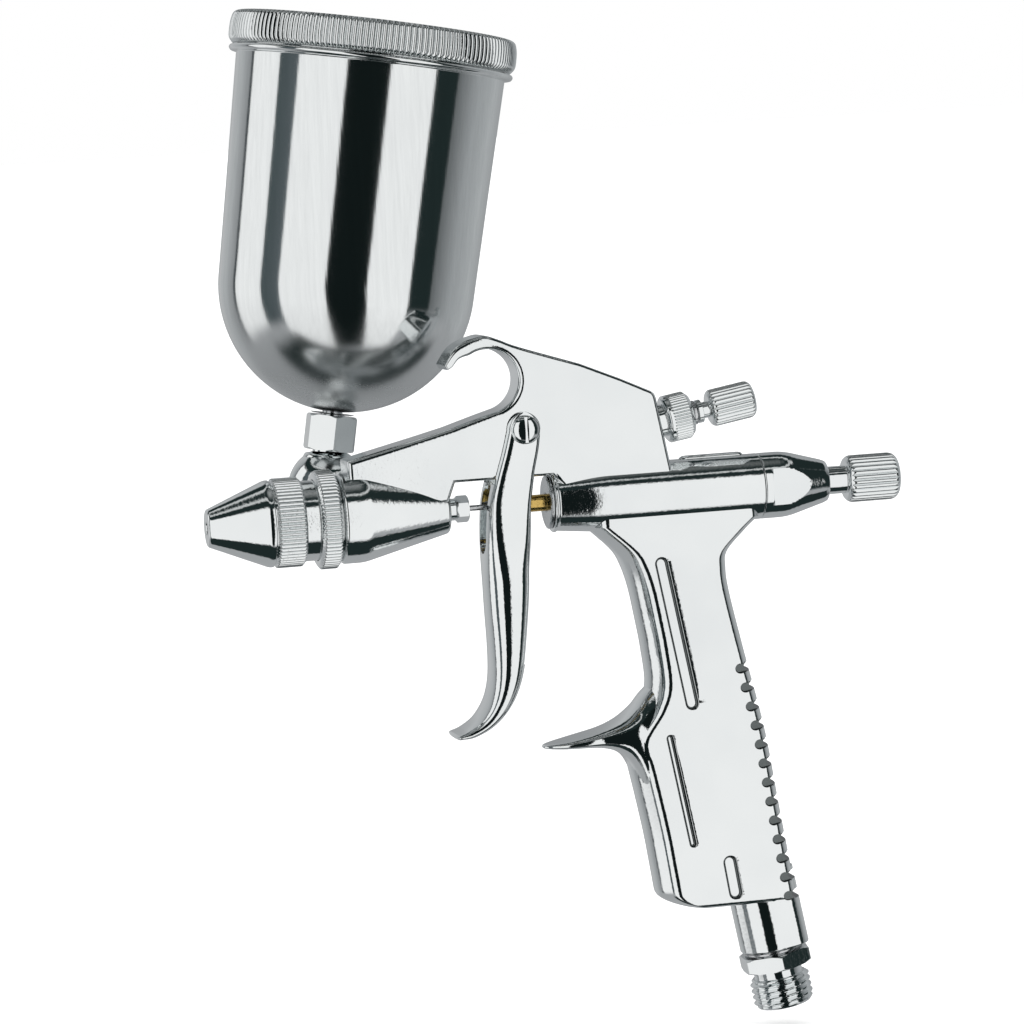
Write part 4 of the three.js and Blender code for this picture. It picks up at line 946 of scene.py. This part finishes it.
class SPRAYGUN_OT_trigger(bpy.types.Operator):
    """Trigger lever, its pivot stud and its pivot screw."""

    bl_idname = "spray_gun.trigger"
    bl_label = "Trigger"

    def execute(self, context):
        face, inner = -8.6, -6.8
        channel = np.vstack([
            [(inner, 5)], through([(inner, 5), (inner - 0.1, -12), (inner, -30)], 10)[1:],
            [(face + 2.6, -33), (face + 3.4, -34), (14, -34), (14, 30), (-28, 30), (-28, 5)],
        ]) + [PIVOT_X, 0]
        outline = stadium((0, 3), (0, -6.8), 6.4)
        slot = np.stack([
            np.stack([np.full(len(outline), x), outline[:, 0], outline[:, 1]], 1)
            for x in (PIVOT_X - 12, PIVOT_X - 4)
        ])
        bore = drill(PIVOT_BORE_R, -9, 9, 48, (PIVOT_X, 0, PIVOT_Z), (0, 1, 0))
        lever = fused("trigger_lever", [shell(trigger_grid(), capped=True)],
                      [prism(channel, -5.3, 5.3), shell(slot, capped=True), bore])
        finished(lever, finish("chrome"), "trigger", "trigger", sharp=30)

        half = 6.9
        at, out = (PIVOT_X, 0, PIVOT_Z), (0, 1, 0)
        stud = ring([(1.95, -half), (1.95, half), (3, half), (3, half + 1.1), (2.2, half + 1.6, 0.5),
                     (0.6, half + 1.7), (0.6, half), (1.3, half), (1.3, -half)], at, out,
                    sides=64, soft=0.15)
        whole("pivot_stud_turned", stud, finish("chrome"), "gun", "trigger_pivot_stud")
        base = half + 0.1
        dome = [(3.1 * math.cos(t), base + 0.2 + 1.6 * math.sin(t), 0)
                for t in np.linspace(math.pi / 2, 0, 14)]
        head = knob(dome + [(3.1, base), (1.2, base), (1.2, -half + 1), (0, -half + 1)], at, (0, -1, 0),
                    sides=64, soft=0.12)
        slit = prism(np.array([(-0.38, -5), (0.38, -5), (0.38, 5), (-0.38, 5)])
                     + [PIVOT_X, PIVOT_Z], -base - 3, -base - 0.95)
        screw = fused("pivot_screw_slotted", [head], [slit])
        finished(screw, finish("chrome"), "gun", "trigger_pivot_screw")
        return {"FINISHED"}


class SPRAYGUN_OT_air_valve(bpy.types.Operator):
    """Brass air valve stem and the gland round it."""

    bl_idname = "spray_gun.air_valve"
    bl_label = "Air valve"

    def execute(self, context):
        gland = ring([(5.2, 73.1), (5.7, 73.3), (5.7, 73.9), (4.9, 73.9), (4.9, 80), (1.9, 80),
                      (1.9, 73.4), (2.2, 73.1)], sides=96, soft=0.12)
        whole("valve_gland_turned", gland, finish("satin"), "gun", "air_valve_gland")
        stem = ring([(1.1, 62.6), (1.8, 63.4), (1.8, 87.6), (4, 87.6), (4, 89.4), (2.2, 89.4),
                     (2.2, 95.4), (0.75, 95.4), (0.75, 62.6)], sides=64, soft=0.15)
        whole("valve_stem_turned", stem, finish("brass"), "valve_stem", "air_valve_stem")
        return {"FINISHED"}


class SPRAYGUN_OT_rear_controls(bpy.types.Operator):
    """Rear guide and needle knob, and the air adjuster above them."""

    bl_idname = "spray_gun.rear_controls"
    bl_label = "Rear controls"

    def execute(self, context):
        count = context.scene.spray_gun_sizes.knob_ribs
        guide = ring([(5.6, 101.5), (5.6, 120.1), (6.95, 120.1), (7.1, 120.3), (7.1, 126.0, 2),
                      (4.7, 134.3), (4.3, GUIDE_END_X), (3.1, GUIDE_END_X), (3.1, 132.2), (4.3, 132.2),
                      (4.3, 103.2), (2.9, 103.2), (2.9, 101.5)], sides=160, soft=0.2, step=0.35,
                     limit=within(121.9, 131.0, two_flats(5.9)))
        whole("rear_guide_turned", guide, finish("chrome"), "gun", "rear_guide",
              sharp=14)
        knob_x = 139.6
        screw = ring([(3, 129.7), (3, knob_x), (4.3, knob_x, 0.4), (5.1, knob_x + 0.9, 0.7),
                      (5.1, knob_x + 10.5, 0.8),
                      (4.2, knob_x + 11.6, 0.6), (1.2, knob_x + 11.6), (0.9, knob_x + 11.3), (0.9, 129.7)],
                     sides=count * 14, soft=0.2, step=0.3,
                     limit=within(knob_x, knob_x + 12, ribs(5.1, 0.42, count)))
        whole("needle_knob_ribbed", screw, finish("chrome"), "needle_knob",
              "needle_adjust_knob")

        fine = 44
        where = {"at": ADJUSTER_AT, "way": ADJUSTER_WAY}
        gland = ring([(3.5, -8), (3.5, 1.2), (4.6, 1.2), (5.1, 1.7), (5.1, 6.2), (4.1, 7.2), (1.85, 7.2),
                      (1.85, -1), (2.9, -1), (2.9, -8)], sides=fine * 10, soft=0.15, step=0.3,
                     limit=within(2.6, 7.3, ribs(5.1, 0.3, fine)), **where)
        whole("air_gland_knurled", gland, finish("chrome"), "gun", "air_adjust_gland")
        clip = ring([(2.6, 7.5), (2.6, 8.3), (1.85, 8.3), (1.85, 7.5)], sides=48, soft=0.15, **where)
        whole("air_clip_turned", clip, finish("steel"), "air_stem", "air_adjust_snap_ring")
        stem = knob([(0, -9.5), (1, -9.5), (1.75, -7.5), (1.75, 8.6), (2.5, 8.6), (2.5, 9.7), (1.75, 9.7),
                     (1.75, 11.3), (3.2, 11.3, 0.4), (4, 12.0, 0.5), (4, 20.5, 0.5), (3.3, 21.3, 0.4),
                     (0, 21.3)], sides=count * 12, soft=0.12, step=0.35,
                    limit=within(11.2, 22, ribs(4.0, 0.36, count - 4)), **where)
        whole("air_knob_ribbed", stem, finish("chrome"), "air_knob", "air_adjust_knob")
        return {"FINISHED"}


class SPRAYGUN_OT_inlet(bpy.types.Operator):
    """Threaded air inlet with its hexagon, and its washer."""

    bl_idname = "spray_gun.inlet"
    bl_label = "Air inlet"

    def execute(self, context):
        pitch = context.scene.spray_gun_sizes.thread_pitch / MM
        where = {"at": INLET_AT, "way": INLET_WAY, "side": (0, 1, 0)}
        fitting = ring([(4.5, -5), (4.5, 4.35), (7.3, 4.35, 0.1), (8.1, 4.8, 0.1), (8.1, 7.3, 0.1),
                        (7.3, 7.75, 0.1), (5.25, 7.75), (5.25, 9.75), (5.7, 9.75, 0.05), (6.58, 10.5, 0.1),
                        (6.58, 15.3, 0.1), (5.7, 16.25, 0.1), (3.7, 16.25), (3.3, 15.9), (3.3, -5)],
                       sides=144, soft=0.15, step=0.12,
                       limit=lambda a, s: np.minimum(
                           within(4.3, 7.8, hexagon(14, -0.045))(a, s),
                           within(9.9, 16.3, thread(6.58, 0.75, pitch))(a, s)), **where)
        whole("inlet_threaded", fitting, finish("chrome"), "gun", "inlet_fitting",
              sharp=35)
        washer = ring([(6.4, 3.55), (6.4, 4.05), (4.6, 4.05), (4.6, 3.55)], sides=96, soft=0.12, **where)
        whole("inlet_washer_turned", washer, finish("steel"), "gun", "inlet_washer")
        return {"FINISHED"}


class SPRAYGUN_OT_side_joint(bpy.types.Operator):
    """Side joint, its coupling nut, the elbow, the cup nut and the spigot."""

    bl_idname = "spray_gun.side_joint"
    bl_label = "Side joint"

    def execute(self, context):
        joint = ring([(3, 4.6), (3, 10.7), (4.8, 10.7, 0.1), (5.2, 11.0, 0.1), (5.2, 12.9, 0.1),
                      (4.8, 13.2, 0.1), (4.3, 13.2), (4.3, 17), (1.6, 17), (1.6, 4.6)], sides=96,
                     soft=0.12, step=0.4, limit=within(10.6, 13.2, hexagon(9)), **ON_SIDE)
        whole("side_joint_hex", joint, finish("chrome"), "gun", "side_inlet_joint")
        nut = ring([(6.9, 13.5, 0.1), (7.5, 13.9, 0.1), (7.5, 20.3, 0.1), (6.9, 20.7, 0.1), (4.05, 20.7),
                    (4.05, 19.3), (5.05, 19.3), (5.05, 17.6), (4.4, 17.6), (4.4, 13.5)], sides=120,
                   soft=0.12, step=0.4, limit=hexagon(13), **ON_SIDE)
        whole("coupling_nut_hex", nut, finish("chrome"), "gun", "side_coupling_nut")

        bulb_at = CUP_AT + 4.2 * CUP_UP + 0.7 * np.array([math.cos(CUP_LEAN), 0, -math.sin(CUP_LEAN)])
        a = np.linspace(0, math.pi, 28)
        bulb = knob([(8.6 * math.sin(t), -8.6 * math.cos(t)) for t in a], bulb_at, CUP_UP, sides=96, soft=0)
        arm = knob([(0, 17.8), (4.9, 17.8), (4.9, 19.15), (3.95, 19.15), (3.95, 21.5, 1), (5.2, 24, 2),
                    (6, CUP_Y), (0, CUP_Y)], soft=0.15, **ON_SIDE)
        neck = knob([(0, 4), (6.2, 4), (5.4, 10.4, 2), (5.0, 11.2), (3.4, 11.6), (3.4, 15.6), (0, 15.6)],
                    soft=0.3, **ON_CUP)
        elbow = fused("elbow_cast", [bulb, arm, neck], [drill(1.8, 6, 17, 24, **ON_CUP)])
        finished(elbow, finish("cast_chrome"), "cup_side", "elbow")
        cup_nut = ring([(5.3, 12.2, 0.1), (5.9, 12.6, 0.1), (5.9, 19.5, 0.1), (5.3, 19.9, 0.1), (2.9, 19.9),
                        (2.9, 17.6), (3.7, 17.6), (3.7, 12.2)], sides=96, soft=0.12, step=0.4,
                       limit=hexagon(10.3), **ON_CUP)
        whole("cup_nut_hex", cup_nut, finish("chrome"), "cup_side", "cup_nut")
        spigot = ring([(3.5, 15.9), (3.5, 17.3), (2.6, 17.3), (2.6, 20.2), (4.4, 20.2), (4.9, 20.35),
                       (2.2, 20.35), (2.2, 22.25), (1.6, 22.25), (1.6, 15.9)], sides=64, soft=0.05, **ON_CUP)
        whole("spigot_turned", spigot, finish("satin"), "cup_side", "cup_spigot")
        return {"FINISHED"}


class SPRAYGUN_OT_cup(bpy.types.Operator):
    """Spun bowl with its bead, and the lid with its ribbed edge."""

    bl_idname = "spray_gun.cup"
    bl_label = "Cup and lid"

    def execute(self, context):
        sizes = context.scene.spray_gun_sizes
        low_r, wall, base, hole_r = 27.85, 1.0, 20.65, 2.6
        centre, rim = base + low_r, 97.4

        def round_bottom(radius, count):
            angles = np.linspace(math.asin(hole_r / radius), math.pi / 2, count)
            return [(radius * math.sin(t), centre - radius * math.cos(t), 0) for t in angles]

        upper = [(28.4, centre + 20, 4), (29.25, rim - 1.5, 0.2), (30.6, rim - 1.25, 0.3),
                 (31.0, rim - 0.6, 0.3), (30.7, rim - 0.05, 0.2), (28.9, rim), (28.85, 101),
                 (27.85, 101), (27.85, rim), (27.8, rim - 1.2, 0.3)]
        inner = round_bottom(low_r - wall, 30)[::-1]
        bowl = ring(round_bottom(low_r, 40) + upper + inner, sides=240, soft=0.2, **ON_CUP)
        whole("cup_spun", bowl, finish("bowl"), "cup_side", "cup", sharp=40)
        count, depth = sizes.lid_ribs, sizes.lid_rib_depth / MM
        lid = ring([(30.3, 97.7, 0.1), (31.3, 98.9, 1.0), (31.3, 102.3, 1.6), (30.8, 104.3, 0.7),
                    (29.9, 104.8, 0.4), (29.3, 104.6, 0.2), (28.6, 104.3, 0.3), (3, 104.3),
                    (0.8, 104.3, 0.1), (0.8, 102.6, 0.1), (29.15, 102.6), (29.15, 97.7)],
                   sides=count * 6, soft=0.2, **ON_CUP,
                   carve=lambda r, a, s: ease(29.6, 30.2, r) * between_ribs(a, depth, count))
        whole("lid_ribbed", lid, finish("chrome"), "lid", "cup_lid", sharp=50)
        return {"FINISHED"}


class SPRAYGUN_OT_inner_parts(bpy.types.Operator):
    """Finishes for the small inner parts that keep their own shape."""

    bl_idname = "spray_gun.inner_parts"
    bl_label = "Inner parts"

    def execute(self, context):
        kept = {
            "steel": ("fluid_nozzle", "needle_chuck", "needle_spring", "needle_spring_seat",
                      "air_valve_spring"),
            "rubber": ("air_valve_seal", "air_adjust_oring"),
            "plastic": ("needle_packing", "air_cap_seal", "side_seal_washer", "lid_gasket"),
        }
        for name, nodes in kept.items():
            for node in nodes:
                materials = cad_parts[node].data.materials
                materials.clear()
                materials.append(finish(name))
        return {"FINISHED"}


class SPRAYGUN_PT_panel(bpy.types.Panel):
    """Sizes, looks and steps of the spray gun."""

    bl_idname = "SPRAYGUN_PT_panel"
    bl_label = "Spray Gun"
    bl_space_type = "VIEW_3D"
    bl_region_type = "UI"
    bl_category = "Spray Gun"

    def draw(self, context):
        scene = context.scene
        for group in (scene.spray_gun_sizes, scene.spray_gun_looks):
            for name in group.bl_rna.properties.keys():
                if name not in ("rna_type", "name"):
                    self.layout.prop(group, name)
        for operator in OPERATORS:
            self.layout.operator(operator.bl_idname)


OPERATORS = (
    SPRAYGUN_OT_stage, SPRAYGUN_OT_casting, SPRAYGUN_OT_head_fittings, SPRAYGUN_OT_trigger,
    SPRAYGUN_OT_air_valve, SPRAYGUN_OT_rear_controls, SPRAYGUN_OT_inlet, SPRAYGUN_OT_side_joint,
    SPRAYGUN_OT_cup, SPRAYGUN_OT_inner_parts,
)
CLASSES = (SPRAYGUN_PG_sizes, SPRAYGUN_PG_looks, *OPERATORS, SPRAYGUN_PT_panel)


def register():
    for kind in CLASSES:
        bpy.utils.register_class(kind)
    bpy.types.Scene.spray_gun_sizes = bpy.props.PointerProperty(type=SPRAYGUN_PG_sizes)
    bpy.types.Scene.spray_gun_looks = bpy.props.PointerProperty(type=SPRAYGUN_PG_looks)


def unregister():
    del bpy.types.Scene.spray_gun_sizes
    del bpy.types.Scene.spray_gun_looks
    for kind in reversed(CLASSES):
        bpy.utils.unregister_class(kind)


def main():
    register()
    for operator in OPERATORS:
        group, name = operator.bl_idname.split(".")
        getattr(getattr(bpy.ops, group), name)()
    bpy.context.view_layer.update()


if __name__ == "__main__":
    main()
